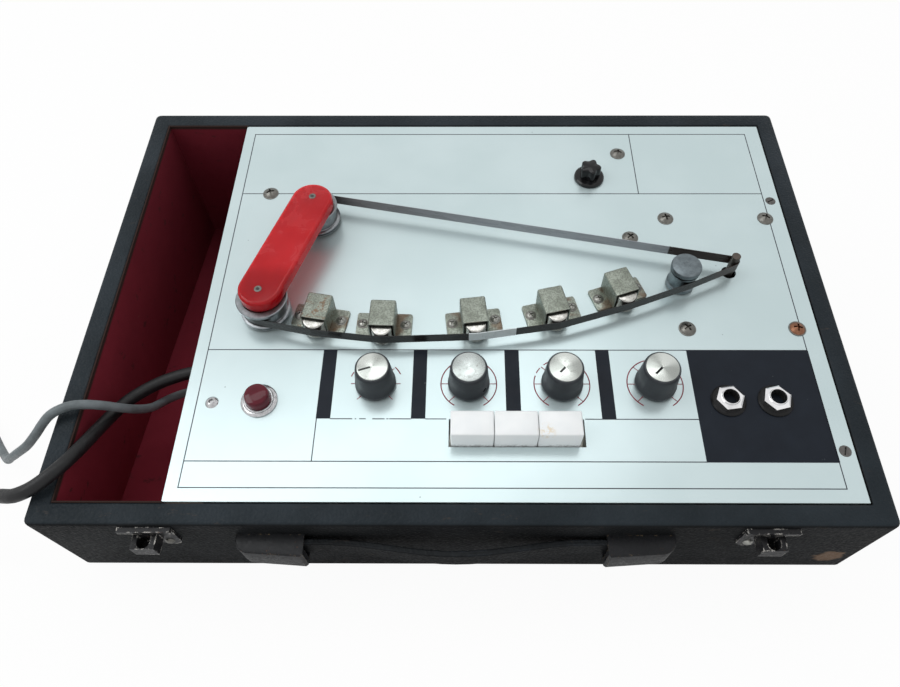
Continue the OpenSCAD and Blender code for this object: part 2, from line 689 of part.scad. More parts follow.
// A three-pin mains plug on its back, with its two short pins nearest to the lead
module mains_plug() translate(grey_middle + [-43, grey_coil_r, 0]) {
    color([0.9, 0.89, 0.85]) {
        translate([-26, 0, 0]) linear_extrude(15) rounded(52, 50, 9);
        translate([-27, 0, 15 - eps]) linear_extrude(4) rounded(46, 44, 7);
        translate([-3, 0, 9]) rotate([0, 90, 0]) cylinder(r1 = 6.5, r2 = 5.5, h = 8);
    }
    color([0.78, 0.68, 0.4]) {
        for (s = [-1, 1]) span([-18, -14], [11.1 * s - 3.2, 11.1 * s + 3.2], [18, 36.7]);
        span([-42.2, -34.2], [-2, 2], [18, 41.7]);
    }
}
module black_lead() color([0.07, 0.07, 0.07]) {
    lead(black_route, black_d);
    lead([black_middle + [0, -black_coil_r, 1.5 * black_d],
        black_middle + [-15, -black_coil_r, 8.4], black_middle + [-30, -black_coil_r, 7.5]],
        black_d);
}
module black_coil() color([0.07, 0.07, 0.07]) coil(black_middle, black_coil_r, black_d, 3);
// A 6.35 mm jack plug that lies on its side
module jack_plug() translate(black_middle + [-29, -black_coil_r, 7.5]) rotate([0, -90, 0]) {
    color([0.08, 0.08, 0.08]) rotate_extrude() polygon([
        [0, 0], [3.8, 0], [5.6, 3], [7, 12], [7.5, 14], [7.5, 42], [6.4, 44], [0, 44]
    ]);
    color([0.8, 0.79, 0.75]) rotate_extrude() polygon([
        [0, 43], [5.6, 43], [5.6, 45], [3.175, 45], [3.175, 70], [2.4, 71.5], [2.2, 72.5],
        [3.1, 74], [3.1, 74.8], [0.6, 77.4], [0, 77.4]
    ]);
}

// ---------------------------------------------------------------- parts

front_board();
rear_board();
side_boards();
base_board();
divider_board();
bay_lining();
panel_battens();
rubber_feet();
case_fixings();
handle_end_caps();
handle_strap();
lid_keepers();
control_panel();
panel_screws();
motor_frame();
motor_stator();
motor_rotor();
guide_roller();
tension_arm();
tension_spring();
transport_studs();
rear_pulley();
front_pulley();
pulley_bridge();
tape_loop();
head(0);  // head_1
head(1);  // head_2
head(2);  // head_3
head(3);  // head_4
head(4);  // head_5
head_cores();
head_screws();
knob(0);  // knob_1
knob(1);  // knob_2
knob(2);  // knob_3
knob(3);  // knob_4
knob_cap(0);  // knob_cap_1
knob_cap(1);  // knob_cap_2
knob_cap(2);  // knob_cap_3
knob_cap(3);  // knob_cap_4
potentiometers();
echo_key(0);  // echo_key_1
echo_key(1);  // echo_key_2
echo_key(2);  // echo_key_3
switch_frame();
lamp_lens();
lamp_bezel();
fuse_holder();
fuse_cap();
jack_nuts();
jack_sockets();
transformer();
circuit_board();
lead_grommets();
grey_lead();
grey_coil();
mains_plug();
black_lead();
black_coil();
jack_plug();
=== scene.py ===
"""Tape echo unit: the looks of each piece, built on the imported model."""
import json
import math

import bmesh
import bpy
from mathutils import Matrix, Vector

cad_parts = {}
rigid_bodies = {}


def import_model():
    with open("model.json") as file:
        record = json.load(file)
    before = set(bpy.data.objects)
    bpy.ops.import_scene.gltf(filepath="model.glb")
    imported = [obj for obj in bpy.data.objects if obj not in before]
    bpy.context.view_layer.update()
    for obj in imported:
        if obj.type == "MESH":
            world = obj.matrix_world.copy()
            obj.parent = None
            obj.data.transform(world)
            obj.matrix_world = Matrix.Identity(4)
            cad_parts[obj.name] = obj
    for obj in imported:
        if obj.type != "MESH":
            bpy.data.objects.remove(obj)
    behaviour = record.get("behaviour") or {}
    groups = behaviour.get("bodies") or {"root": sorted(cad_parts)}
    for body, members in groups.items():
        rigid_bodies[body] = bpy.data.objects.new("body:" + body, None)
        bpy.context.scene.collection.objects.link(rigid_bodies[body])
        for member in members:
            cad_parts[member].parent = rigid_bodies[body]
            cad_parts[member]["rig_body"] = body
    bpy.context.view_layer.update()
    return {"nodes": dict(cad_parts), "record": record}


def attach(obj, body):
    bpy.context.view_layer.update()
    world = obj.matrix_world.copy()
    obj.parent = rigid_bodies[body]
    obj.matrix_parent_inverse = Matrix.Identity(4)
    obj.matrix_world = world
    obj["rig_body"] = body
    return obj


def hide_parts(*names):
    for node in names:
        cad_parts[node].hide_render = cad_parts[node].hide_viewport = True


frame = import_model()
nodes = frame["nodes"]
scene = bpy.context.scene

MM = 0.001
SLOPE = math.radians(9)
FOOT_H = 8
BASE_Y = -131.6
CASE_W, CASE_D, FRONT_H = 410, 279, 67
BOARD_T, BASE_T, RIM, CORNER_R = 10.9, 6, 0.5, 3.5

# Turns millimetres on the control panel into the model's metres
DECK = (
    Matrix.Scale(MM, 4)
    @ Matrix.Translation((0, BASE_Y, FOOT_H))
    @ Matrix.Rotation(SLOPE, 4, "X")
    @ Matrix.Translation((0, CASE_D / 2, FRONT_H))
)
# Turns millimetres over the floor into the model's metres
LEVEL = Matrix.Scale(MM, 4)
# The front board's face: x along the rim, y up, z out
FRONT = DECK @ Matrix.Translation((0, -CASE_D / 2, RIM)) @ Matrix.Rotation(math.pi / 2, 4, "X")


def moved(x, y, z):
    return Matrix.Translation((x, y, z))


def yaw(degrees):
    """A turn about the Z axis."""
    return Matrix.Rotation(math.radians(degrees), 4, "Z")


def at(x, y, turn=0, z=0):
    """A place on the control panel, in millimetres and degrees."""
    return DECK @ moved(x, y, z) @ yaw(turn)


def placed_object(name, data):
    made = bpy.data.objects.new(name, data)
    scene.collection.objects.link(made)
    return made


# ---- camera

CAMERA_PLACE = (2.13, -243.71, 332.53)
CAMERA_TURNS = ((0.004, "Z"), (0.004, "Y"), (0.559, "X"))
SENSOR_W, LENS = 36, 29.03
SHIFT = (-0.0127, -0.0072)


def set_camera():
    place = DECK @ Matrix.Translation(CAMERA_PLACE)
    for angle, axis in CAMERA_TURNS:
        place @= Matrix.Rotation(angle, 4, axis)
    data = bpy.data.cameras.new("camera")
    data.sensor_width = SENSOR_W
    data.lens = LENS
    data.shift_x, data.shift_y = SHIFT
    data.clip_start = 0.01
    scene.camera = placed_object("camera", data)
    scene.camera.matrix_world = Matrix.LocRotScale(place.translation, place.to_quaternion(), None)


set_camera()

# ---- sizes of the controls

KNOB_H, KNOB_PITCH = 18, 48.3
DULL_KNOB = 1
RING_PITCH = 0.45
KEY_TOP, KEY_W, KEY_PITCH = 13.2, 21.2, 21.5


def knob_place(i):
    return at(-44.4 + KNOB_PITCH * i, -64.4)


# ---- finishes


class Finish:
    """A material with its procedural nodes."""

    def __init__(self, name, rough=0.5, metal=0.0, shine=0.5, **sockets):
        self.material = bpy.data.materials.new(name)
        self.material.use_nodes = True
        self.tree = self.material.node_tree
        self.shader = self.tree.nodes["Principled BSDF"]
        self.put("Roughness", rough)
        self.put("Metallic", metal)
        self.put("Specular IOR Level", shine)
        for key, value in sockets.items():
            self.put(key.replace("_", " "), value)
        self.place = self.node("TexCoord").outputs["Object"]

    def node(self, kind, settings=None, **inputs):
        made = self.tree.nodes.new("ShaderNode" + kind)
        for key, value in (settings or {}).items():
            setattr(made, key, value)
        for key, value in inputs.items():
            self.join(value, made.inputs[key.replace("_", " ")])
        return made

    def join(self, value, socket):
        if isinstance(value, bpy.types.NodeSocket):
            self.tree.links.new(value, socket)
        else:
            socket.default_value = value

    def put(self, socket, value):
        self.join(value, self.shader.inputs[socket])

    def color(self, value):
        self.put("Base Color", value)

    def rough(self, value):
        self.put("Roughness", value)

    def stretched(self, x, y, z):
        return self.node("Mapping", Vector=self.place, Scale=(x, y, z)).outputs[0]

    def noise(self, size, detail=3.0, rough=0.55, vector=None, warp=0.0):
        """Cloudy noise whose lumps are about size millimetres across, 0 to 1."""
        return self.node(
            "TexNoise", Vector=vector or self.place, Scale=1000 / size,
            Detail=detail, Roughness=rough, Distortion=warp,
        ).outputs["Fac"]

    def on_panel(self, middle=DECK.translation):
        """Coordinates along the control panel and over it, in metres from a middle."""
        local = self.node(
            "Mapping", {"vector_type": "TEXTURE"}, Vector=self.place, Location=middle,
            Rotation=(SLOPE, 0, 0),
        )
        return self.node("SeparateXYZ", Vector=local.outputs[0]).outputs

    def distance_to(self, point):
        made = self.node("VectorMath", {"operation": "DISTANCE"}, Vector=self.place)
        self.join(point, made.inputs[1])
        return made.outputs["Value"]

    def cells(self, size, feature="F1"):
        return self.node(
            "TexVoronoi", {"feature": feature}, Vector=self.place, Scale=1000 / size
        ).outputs["Distance"]

    def steps(self, value, low, high, out_low=0.0, out_high=1.0):
        """Maps low..high of a value to out_low..out_high, held at both ends."""
        return self.node(
            "MapRange", {"interpolation_type": "SMOOTHSTEP"}, Value=value,
            **{"From_Min": low, "From_Max": high, "To_Min": out_low, "To_Max": out_high},
        ).outputs[0]

    def patches(self, size, low, high, detail=5.0, rough=0.7, vector=None):
        """Soft-edged patches: 0 where the noise is under low, 1 where it is over high."""
        return self.steps(self.noise(size, detail, rough, vector), low, high)

    def mix(self, factor, a, b):
        made = self.node("Mix", {"data_type": "RGBA"})
        for index, value in ((0, factor), (6, a), (7, b)):
            if isinstance(value, tuple):
                value = (*value, 1)
            self.join(value, made.inputs[index])
        return made.outputs[2]

    def over(self, colour, mask, share, paint):
        """Lays a share of a paint over a colour where the mask is 1."""
        return self.mix(self.times(mask, share), colour, paint)

    def math(self, what, a, b=0.0):
        made = self.node("Math", {"operation": what})
        self.join(a, made.inputs[0])
        self.join(b, made.inputs[1])
        return made.outputs[0]

    def times(self, a, b):
        return self.math("MULTIPLY", a, b)

    def flat_normal(self):
        return self.node("NewGeometry").outputs["Normal"]

    def edges(self, width, reach=0.25):
        """Near 1 on outer and inner edges within width millimetres, 0 on flat faces."""
        rounded = self.node("Bevel", {"samples": 4}, Radius=width * MM).outputs[0]
        dot = self.node("VectorMath", {"operation": "DOT_PRODUCT"})
        self.join(rounded, dot.inputs[0])
        self.join(self.flat_normal(), dot.inputs[1])
        return self.steps(self.math("SUBTRACT", 1.0, dot.outputs["Value"]), 0.0, reach)

    def done(self, *layers):
        """Raises the layers, each a height from 0 to 1 and its depth in millimetres."""
        normal = None
        for height, depth in layers:
            made = self.node("Bump", Height=height, Strength=1.0, Distance=depth * MM)
            if normal:
                self.join(normal, made.inputs["Normal"])
            normal = made.outputs[0]
            self.put("Normal", normal)
        return self.material


# Where the cloth is worn through, low on the front board
BARE_PATCH = (FRONT @ moved(191, -49, 0)).translation


def leathercloth(name, gloss, top_sheen, edge_wear_and_highlight):
    """Grained black cloth, greyer where it faces up by a painted sheen, and at its edges worn through to
    brown on the case and given a painted bluish highlight on the strap.
    """
    f = Finish(name)
    grain = f.cells(1.15, "SMOOTH_F1")
    pebble = f.noise(1.6, 4, 0.6)
    cloud = f.patches(38, 0.3, 0.7, 4, 0.55)
    # Faces that look up are mixed towards the top colour, lighter and bluer: a painted sheen, in the share
    # given by the third argument.
    up = f.steps(f.node("SeparateXYZ", Vector=f.flat_normal()).outputs[2], 0.35, 0.9)
    worn = f.times(f.edges(1.8), f.patches(9, 0.5, 0.57))
    scuff = f.patches(4.5, 0.61, 0.7, 6, 0.75, f.stretched(0.35, 1, 1))
    shade = f.mix(cloud, (0.0072, 0.0078, 0.0084), (0.0142, 0.0153, 0.0165))
    top = f.mix(cloud, (0.012, 0.017, 0.021), (0.0215, 0.029, 0.0355))
    colour = f.mix(f.times(up, top_sheen), shade, top)
    colour = f.over(colour, scuff, 0.4, (0.075, 0.058, 0.046))
    # At the edges the given colour is brown wear on the case and a painted bluish highlight on the strap.
    colour = f.over(colour, worn, 0.8, edge_wear_and_highlight)
    ragged = f.math("ADD", f.distance_to(BARE_PATCH), f.times(f.noise(7, 4), 12 * MM))
    bare = f.steps(ragged, 15 * MM, 12 * MM)
    f.color(f.over(colour, bare, 0.8, (0.2, 0.13, 0.085)))
    f.put("Specular IOR Level", f.steps(up, 0.0, 1.0, 0.035, gloss))
    f.rough(f.steps(pebble, 0.3, 0.7, 0.42, 0.62))
    return f.done((f.noise(26, 2), 0.35), (grain, 0.3), (pebble, 0.15))


def bay_cloth():
    """Maroon flock, scuffed and stained, with painted shade darkening it towards the rear, and dirty along
    its top.
    """
    f = Finish("maroon_flock", 0.95, shine=0.15)
    pile = f.noise(0.7, 4, 0.7)
    cloud = f.noise(30, 4, 0.6)
    scuff = f.patches(7, 0.67, 0.72, 6, 0.75, f.stretched(1, 0.5, 0.8))
    colour = f.mix(cloud, (0.2, 0.02, 0.034), (0.32, 0.034, 0.055))
    colour = f.over(colour, pile, 0.3, (0.08, 0.008, 0.015))
    colour = f.over(colour, scuff, 0.55, (0.26, 0.14, 0.1))
    along, up = f.on_panel()[1:]
    lip = f.steps(up, -3 * MM, -1 * MM)
    # Darker towards the rear: painted shade deeper in the bay.
    colour = f.mix(f.steps(along, -90 * MM, 90 * MM, 0.0, 0.4), colour, (0.07, 0.008, 0.014))
    stain = f.patches(11, 0.6, 0.68, vector=f.stretched(0.6, 1, 1.4))
    colour = f.over(colour, stain, 0.6, (0.05, 0.02, 0.02))
    f.color(f.mix(lip, colour, (0.035, 0.02, 0.017)))
    return f.done((pile, 0.15), (f.noise(14, 3), 0.4))


def satin_panel():
    """Satin metal with a soft cloud and a few specks."""
    f = Finish("satin_panel", 0.27, 0.45)
    cloud = f.patches(70, 0.3, 0.7, 3, 0.55)
    specks = f.steps(f.cells(17), 0.026, 0.018)
    colour = f.mix(cloud, (0.535, 0.642, 0.655), (0.585, 0.69, 0.705))
    f.color(f.over(colour, specks, 0.6, (0.16, 0.16, 0.15)))
    return f.done((f.noise(60, 2), 0.03))


def metal(name, color, dark, rough, spots=0.0):
    """Clouded metal, with brown spots where they are asked for."""
    f = Finish(name, metal=1.0)
    colour = f.mix(f.patches(5, 0.35, 0.7, 5, 0.65), color, dark)
    if spots:
        colour = f.over(colour, f.patches(1.3, 0.62, 0.7), spots, (0.05, 0.035, 0.02))
    f.color(colour)
    f.rough(f.steps(f.noise(2.2, 5, 0.7), 0.3, 0.75, rough * 0.75, min(1, rough * 1.5)))
    return f.done((f.noise(0.5, 3, 0.6), 0.01))


def shaded_grimy_metal(name, color, dirt, reach, rough=0.36):
    """Dull plated metal with dirt spots, and painted shade in the dirt colour in its recesses and corners,
    within reach millimetres.
    """
    f = Finish(name, metal=0.9)
    cloud = f.patches(2.5, 0.3, 0.7, 5, 0.65)
    colour = f.mix(cloud, color, tuple(c * 0.68 for c in color))
    # Ambient occlusion darkens recesses and corners to the dirt colour: painted shade, with some dirt.
    open_air = f.node("AmbientOcclusion", {"samples": 6}, Distance=reach * MM).outputs["AO"]
    recess_shade = f.steps(open_air, 0.8, 0.35)
    spots = f.patches(0.7, 0.6, 0.7, 4)
    colour = f.over(colour, spots, 0.5, dirt)
    f.color(f.mix(recess_shade, colour, dirt))
    f.rough(f.steps(spots, 0.0, 1.0, rough, rough + 0.25))
    return f.done((f.noise(0.6, 3, 0.6), 0.012), (spots, 0.02))


def plastic(name, color, rough, mottle=0.12, grain=0.01, **sockets):
    f = Finish(name, **sockets)
    darker = tuple(c * (1 - 2.5 * mottle) for c in color)
    f.color(f.mix(f.patches(7, 0.3, 0.75, 4, 0.6), color, darker))
    f.rough(f.steps(f.noise(3, 5, 0.7), 0.3, 0.75, rough * 0.8, min(1, rough * 1.5)))
    return f.done((f.noise(0.8, 3), grain))


def worn_black_metal(name, low, high, chips, bare_color, metallic):
    """Black lacquer, chipped at its edges down to bare and rusty metal."""
    f = Finish(name, shine=0.15)
    bare = f.times(f.edges(1.2, 0.2), f.steps(f.noise(3.2, 5, 0.7), chips, chips + 0.08))
    rust = f.patches(2.5, 0.6, 0.72)
    metal_colour = f.mix(rust, bare_color, (0.2, 0.09, 0.035))
    coat = f.mix(f.noise(6, 4), low, high)
    blister = f.times(f.patches(1.5, 0.64, 0.69, 4), f.patches(16, 0.5, 0.6, 2, 0.55))
    coat = f.over(coat, blister, 0.8, (0.13, 0.055, 0.025))
    f.color(f.mix(bare, coat, metal_colour))
    f.put("Metallic", f.times(bare, metallic))
    f.rough(f.steps(f.noise(2, 4), 0.3, 0.7, 0.24, 0.42))
    return f.done((f.noise(1.2, 4), 0.05), (bare, -0.04))


def cable(name, color, rough):
    """The jacket of a lead, uneven and slightly faded."""
    f = Finish(name, shine=0.3)
    cloud = f.patches(9, 0.35, 0.7, 4, 0.6)
    f.color(f.mix(cloud, color, tuple(c * 0.72 for c in color)))
    f.rough(f.steps(f.noise(3, 3), 0.3, 0.7, rough * 0.85, rough * 1.25))
    return f.done((f.noise(1.4, 3), 0.03), (f.noise(12, 2), 0.1))


def wood():
    f = Finish("bare_wood", 0.7)
    rings = f.noise(7, 4, 0.6, f.stretched(1, 0.06, 1), 0.4)
    f.color(f.mix(f.steps(rings, 0.35, 0.65), (0.16, 0.105, 0.065), (0.09, 0.057, 0.035)))
    return f.done((rings, 0.1))


def bar_ink():
    """Blue-black print with small chips out of it."""
    f = Finish("bar_ink", shine=0.12)
    chips = f.patches(2.2, 0.7, 0.72)
    cloud = f.mix(f.noise(12, 4), (0.008, 0.0105, 0.016), (0.015, 0.02, 0.029))
    f.color(f.over(cloud, chips, 0.5, (0.3, 0.32, 0.33)))
    f.rough(f.steps(f.noise(5, 5, 0.7), 0.3, 0.7, 0.3, 0.45))
    return f.done()


def tarnished_can(name, rusty):
    """Speckled dull metal, lightened at its edges by rubbed metal and a painted highlight, brown in places
    there, with dirt on its ears and rust if rusty.
    """
    f = Finish(name, metal=0.85)
    cloud = f.patches(7, 0.35, 0.7, 4, 0.6)
    speckle = f.patches(0.9, 0.42, 0.6, 3, 0.6)
    colour = f.mix(cloud, (0.3, 0.33, 0.285), (0.2, 0.22, 0.185))
    colour = f.over(colour, speckle, 0.6, (0.13, 0.14, 0.12))
    if rusty:
        rust = f.patches(5, 0.53, 0.6, 6, 0.75)
        colour = f.over(colour, rust, rusty, (0.17, 0.1, 0.06))
    # Edges are lightened: rubbed metal, with a painted highlight.
    edges = f.edges(0.8, 0.3)
    colour = f.over(colour, edges, 0.5, (0.48, 0.5, 0.45))
    brown = f.times(edges, f.patches(4, 0.5, 0.62, 4))
    colour = f.over(colour, brown, 0.8, (0.15, 0.095, 0.055))
    low = f.steps(f.on_panel()[2], 2.6 * MM, 1.6 * MM)
    ears = f.times(low, f.patches(24, 0.5, 0.6, 3, 0.6))
    f.color(f.over(colour, ears, 0.75, (0.13, 0.08, 0.05)))
    f.rough(f.steps(speckle, 0.0, 1.0, 0.34, 0.5))
    return f.done((speckle, 0.03), (f.noise(14, 2), 0.06))


def pole_metal():
    """Dull metal with brown oxide where the tape rubs it."""
    f = Finish("worn_pole", 0.22, 0.95)
    z = f.on_panel()[2]
    band = f.times(f.steps(z, 1.6 * MM, 3 * MM), f.steps(z, 10.9 * MM, 10.1 * MM))
    cloud = f.patches(3, 0.3, 0.7, 4, 0.65)
    colour = f.mix(cloud, (0.52, 0.52, 0.49), (0.3, 0.29, 0.27))
    f.color(f.over(colour, band, 0.6, (0.12, 0.09, 0.07)))
    return f.done((f.noise(0.7, 3), 0.01))


def spun_disc(i):
    """A turned disc: light and dark wedges round its own middle as a painted highlight, and fine rings."""
    f = Finish(f"spun_disc_{i + 1}", metal=1.0)
    # dark and bright are the two ends of the painted highlight; the dull knob's lie closer together.
    if i == DULL_KNOB:
        dark, bright, cleaner = (0.34, 0.37, 0.36), (0.46, 0.5, 0.49), 0.46
    else:
        dark, bright, cleaner = (0.34, 0.36, 0.34), (0.6, 0.63, 0.6), 0.55
    x, y = f.on_panel(knob_place(i).translation)[:2]
    angle = f.math("ARCTAN2", y, x)
    highlight_wedges = f.math("COSINE", f.times(f.math("ADD", angle, 0.9 + 0.4 * i), 2.0))
    radius = f.math("SQRT", f.math("ADD", f.times(x, x), f.times(y, y)))
    rings = f.math("SINE", f.times(radius, 2 * math.pi / (RING_PITCH * MM)))
    colour = f.mix(f.steps(highlight_wedges, -0.9, 0.9), dark, bright)
    grime = f.patches(2.5, cleaner, 0.75)
    f.color(f.over(colour, grime, 0.35, (0.2, 0.19, 0.17)))
    f.rough(f.steps(grime, 0.0, 1.0, 0.22, 0.45))
    return f.done((rings, 0.004))


def clear_red():
    """Tinted plastic that lets some light through, with smudges on its top and a painted darker reflection
    over its front end.
    """
    f = Finish(
        "clear_red", Subsurface_Weight=1.0, Subsurface_Scale=0.012, Subsurface_Radius=(1.0, 0.12, 0.14),
        shine=0.22,
    )
    smudge = f.steps(f.noise(13, 5, 0.65, warp=0.6), 0.45, 0.66)
    cloud = f.patches(45, 0.35, 0.65, 2, 0.55)
    # The front end is darker red: a painted reflection.
    ragged = f.math("ADD", f.on_panel()[1], f.times(f.noise(9, 4), 6 * MM))
    front = f.steps(ragged, 2 * MM, -9 * MM)
    colour = f.mix(cloud, (0.48, 0.006, 0.011), (0.6, 0.014, 0.02))
    colour = f.over(colour, smudge, 0.22, (0.66, 0.05, 0.06))
    f.color(f.mix(front, colour, (0.38, 0.004, 0.008)))
    f.rough(f.steps(f.math("SUBTRACT", smudge, front), 0.0, 1.0, 0.12, 0.3))
    return f.done((f.noise(18, 2), 0.03), (smudge, 0.003))


# The rear run of the tape: how it slants across the panel, and where its painted grey reflection ends
RUN_SLOPE, RUN_END = 0.237, 118


def tape_coating():
    """Brown oxide, paler on the rear run by a painted grey reflection."""
    f = Finish("tape_coating", shine=0.3)
    x, y = f.on_panel()[:2]
    rear = f.steps(f.math("ADD", y, f.times(x, RUN_SLOPE)), 31 * MM, 34 * MM)
    start, end = f.steps(x, -84 * MM, -62 * MM), f.steps(x, RUN_END * MM, (RUN_END - 0.8) * MM)
    streak = f.patches(4, 0.3, 0.7, 4, 0.6, f.stretched(0.1, 1, 1))
    dark = f.mix(streak, (0.0125, 0.011, 0.0108), (0.0165, 0.0142, 0.0138))
    dark = f.mix(rear, dark, (0.032, 0.021, 0.018))
    # near and far are the painted reflection's greys, lighter towards the right.
    near = f.mix(streak, (0.14, 0.135, 0.14), (0.17, 0.167, 0.175))
    far = f.mix(streak, (0.29, 0.31, 0.335), (0.33, 0.35, 0.38))
    reflected_grey = f.mix(f.steps(x, -70 * MM, 40 * MM), near, far)
    f.color(f.mix(f.times(rear, f.times(start, end)), dark, reflected_grey))
    f.rough(f.steps(streak, 0.0, 1.0, 0.24, 0.36))
    return f.done((f.noise(1.5, 3, 0.6, f.stretched(0.1, 1, 1)), 0.005))


def matt_knob():
    """Matt black plastic, rubbed grey at its edges."""
    f = Finish("matt_knob", shine=0.3)
    cloud = f.patches(6, 0.3, 0.7, 4, 0.6)
    worn = f.times(f.edges(1.2, 0.2), f.patches(2.2, 0.34, 0.55))
    colour = f.mix(cloud, (0.021, 0.0235, 0.028), (0.033, 0.037, 0.043))
    f.color(f.over(colour, worn, 0.7, (0.16, 0.18, 0.19)))
    f.rough(f.steps(f.noise(3, 5, 0.7), 0.3, 0.75, 0.36, 0.56))
    return f.done((f.noise(0.9, 3), 0.015))


# The yellowed corner of the third key
KEY_STAIN = at(41.5, -97.2, z=KEY_TOP).translation


def key_plastic():
    """White plastic, yellowed at one corner, with dirt near the bottom of its front."""
    f = Finish("key_plastic", Subsurface_Weight=0.3, Subsurface_Scale=0.004, Subsurface_Radius=(1, 1, 1))
    foot = f.steps(f.on_panel()[2], 3 * MM, 0.6 * MM)
    dirt = f.times(foot, f.patches(2.6, 0.38, 0.62))
    crumbs = f.times(f.edges(0.9, 0.25), f.patches(2.5, 0.56, 0.66))
    corner = f.steps(f.distance_to(KEY_STAIN), 5.5 * MM, 1.5 * MM)
    stain = f.times(corner, f.patches(2.2, 0.46, 0.6))
    colour = f.mix(f.patches(16, 0.3, 0.7, 3, 0.55), (0.93, 0.95, 0.955), (0.88, 0.905, 0.915))
    colour = f.over(colour, stain, 0.55, (0.72, 0.55, 0.3))
    colour = f.over(colour, crumbs, 0.5, (0.4, 0.32, 0.25))
    f.color(f.over(colour, dirt, 0.4, (0.12, 0.115, 0.11)))
    f.rough(f.steps(f.noise(4, 4), 0.3, 0.7, 0.14, 0.26))
    return f.done((f.noise(9, 2), 0.03), (crumbs, 0.02))


FINISHES = {
    "covered_board": leathercloth("black_leathercloth", 0.12, 1.0, (0.1, 0.06, 0.038)),
    "bare_wood": wood(),
    "bay_cloth": bay_cloth(),
    "rubber": plastic("black_rubber", (0.018, 0.018, 0.018), 0.7, 0.15, 0.05),
    "bright_steel": metal("bright_steel", (0.62, 0.61, 0.58), (0.42, 0.4, 0.36), 0.28, 0.5),
    "black_metal": worn_black_metal(
        "worn_keeper", (0.008, 0.008, 0.009), (0.018, 0.018, 0.02), 0.5, (0.75, 0.72, 0.67), 0.1
    ),
    # The strap gets little painted top sheen, and its edge colour is a painted bluish highlight.
    "strap": leathercloth("strap_cloth", 0.12, 0.15, (0.05, 0.06, 0.075)),
    "panel": satin_panel(),
    "bronze_screw": metal("bronze_screw", (0.2, 0.145, 0.1), (0.1, 0.07, 0.05), 0.42, 0.6),
    "dark_steel": metal("dark_steel", (0.1, 0.085, 0.075), (0.05, 0.042, 0.038), 0.4, 0.3),
    "laminations": metal("laminations", (0.12, 0.11, 0.1), (0.07, 0.06, 0.055), 0.5, 0.3),
    "arm": metal("arm_plate", (0.5, 0.49, 0.46), (0.34, 0.33, 0.3), 0.35, 0.2),
    # The wheel's grooves are darkened by painted shade within 4 mm.
    "wheel": shaded_grimy_metal("turned_wheel", (0.29, 0.305, 0.32), (0.06, 0.055, 0.05), 4.0, 0.3),
    "bridge": clear_red(),
    "tape": tape_coating(),
    "head_can": tarnished_can("tarnished_can", 0.0),
    "head_core": pole_metal(),
    "knob": matt_knob(),
    "spun_cap": metal("spun_cap", (0.72, 0.72, 0.7), (0.55, 0.55, 0.52), 0.22, 0.2),
    "pot": metal("plated_pot", (0.5, 0.5, 0.46), (0.34, 0.34, 0.3), 0.4),
    "white_key": key_plastic(),
    "lens": plastic("red_lens", (0.11, 0.0015, 0.012), 0.07, 0.1, 0.0, shine=0.3),
    "chrome": metal("bright_chrome", (0.82, 0.82, 0.83), (0.66, 0.66, 0.67), 0.1, 0.2),
    "bakelite": plastic("black_bakelite", (0.007, 0.007, 0.008), 0.14, shine=0.28),
    "socket": plastic("socket_black", (0.015, 0.015, 0.015), 0.4),
    "transformer": metal("transformer_iron", (0.2, 0.19, 0.18), (0.12, 0.11, 0.1), 0.5),
    "board": plastic("paper_board", (0.3, 0.17, 0.07), 0.45),
    "grey_cable": cable("grey_cable", (0.16, 0.185, 0.195), 0.4),
    "black_cable": cable("black_cable", (0.0095, 0.01, 0.011), 0.42),
    "plug": plastic("cream_plug", (0.66, 0.63, 0.53), 0.3),
    "jack": plastic("jack_black", (0.012, 0.012, 0.012), 0.3),
}
SLOT_OF = {part["node"]: part["material_slot"] for part in frame["record"]["subparts"]}

# Finishes of pieces that differ from the rest of their slot
INK = plastic("panel_ink", (0.018, 0.022, 0.034), 0.4, 0.1)
BAR_INK = bar_ink()
DIAL_INK = plastic("dial_ink", (0.23, 0.013, 0.032), 0.4, 0.1)
# These dull metals paint shade into their recesses and corners.
DOME_METAL = shaded_grimy_metal("dull_dome", (0.18, 0.175, 0.16), (0.05, 0.04, 0.032), 0.6)
RUSTY_METAL = shaded_grimy_metal("rusty_dome", (0.26, 0.12, 0.07), (0.06, 0.025, 0.015), 0.9)
DULL_CHROME = shaded_grimy_metal("dull_chrome", (0.55, 0.55, 0.56), (0.06, 0.062, 0.062), 0.9, 0.16)
WASHER_BLACK = plastic("washer_black", (0.008, 0.008, 0.0085), 0.3, shine=0.2)
SCREW_METAL = shaded_grimy_metal("dull_nickel", (0.4, 0.4, 0.37), (0.025, 0.02, 0.017), 0.6)
FLAT_METAL = shaded_grimy_metal("dark_screw", (0.13, 0.125, 0.12), (0.02, 0.018, 0.017), 1.0)
PATCH_FILM = plastic("patch_film", (0.66, 0.72, 0.73), 0.3, 0.04, 0.006)
HEAD_METAL = [tarnished_can("rusty_can", 0.8), FINISHES["head_can"]]
ROLLER_METAL = shaded_grimy_metal("dull_zinc", (0.16, 0.19, 0.205), (0.06, 0.055, 0.047), 2.0)
CAP_METAL = worn_black_metal(
    "worn_cap", (0.0085, 0.009, 0.01), (0.018, 0.0185, 0.021), 0.55, (0.3, 0.22, 0.13), 0.5
)

# ---- leads


def smoothed(points):
    """Puts one more point between each two, on a smooth curve through them all."""
    last = len(points) - 1
    out = []
    for i in range(last):
        a, b = points[i], points[i + 1]
        out += [a, (9 * (a + b) - points[max(i - 1, 0)] - points[min(i + 2, last)]) / 16]
    return out + [points[last]]


def ease(t):
    t = min(1, max(0, t))
    return t * t * (3 - 2 * t)


# A coil's knots in a turn, and the part of a turn in which it shifts to the next ring
KNOTS_A_TURN, SHIFT_TURN = 18, 0.167


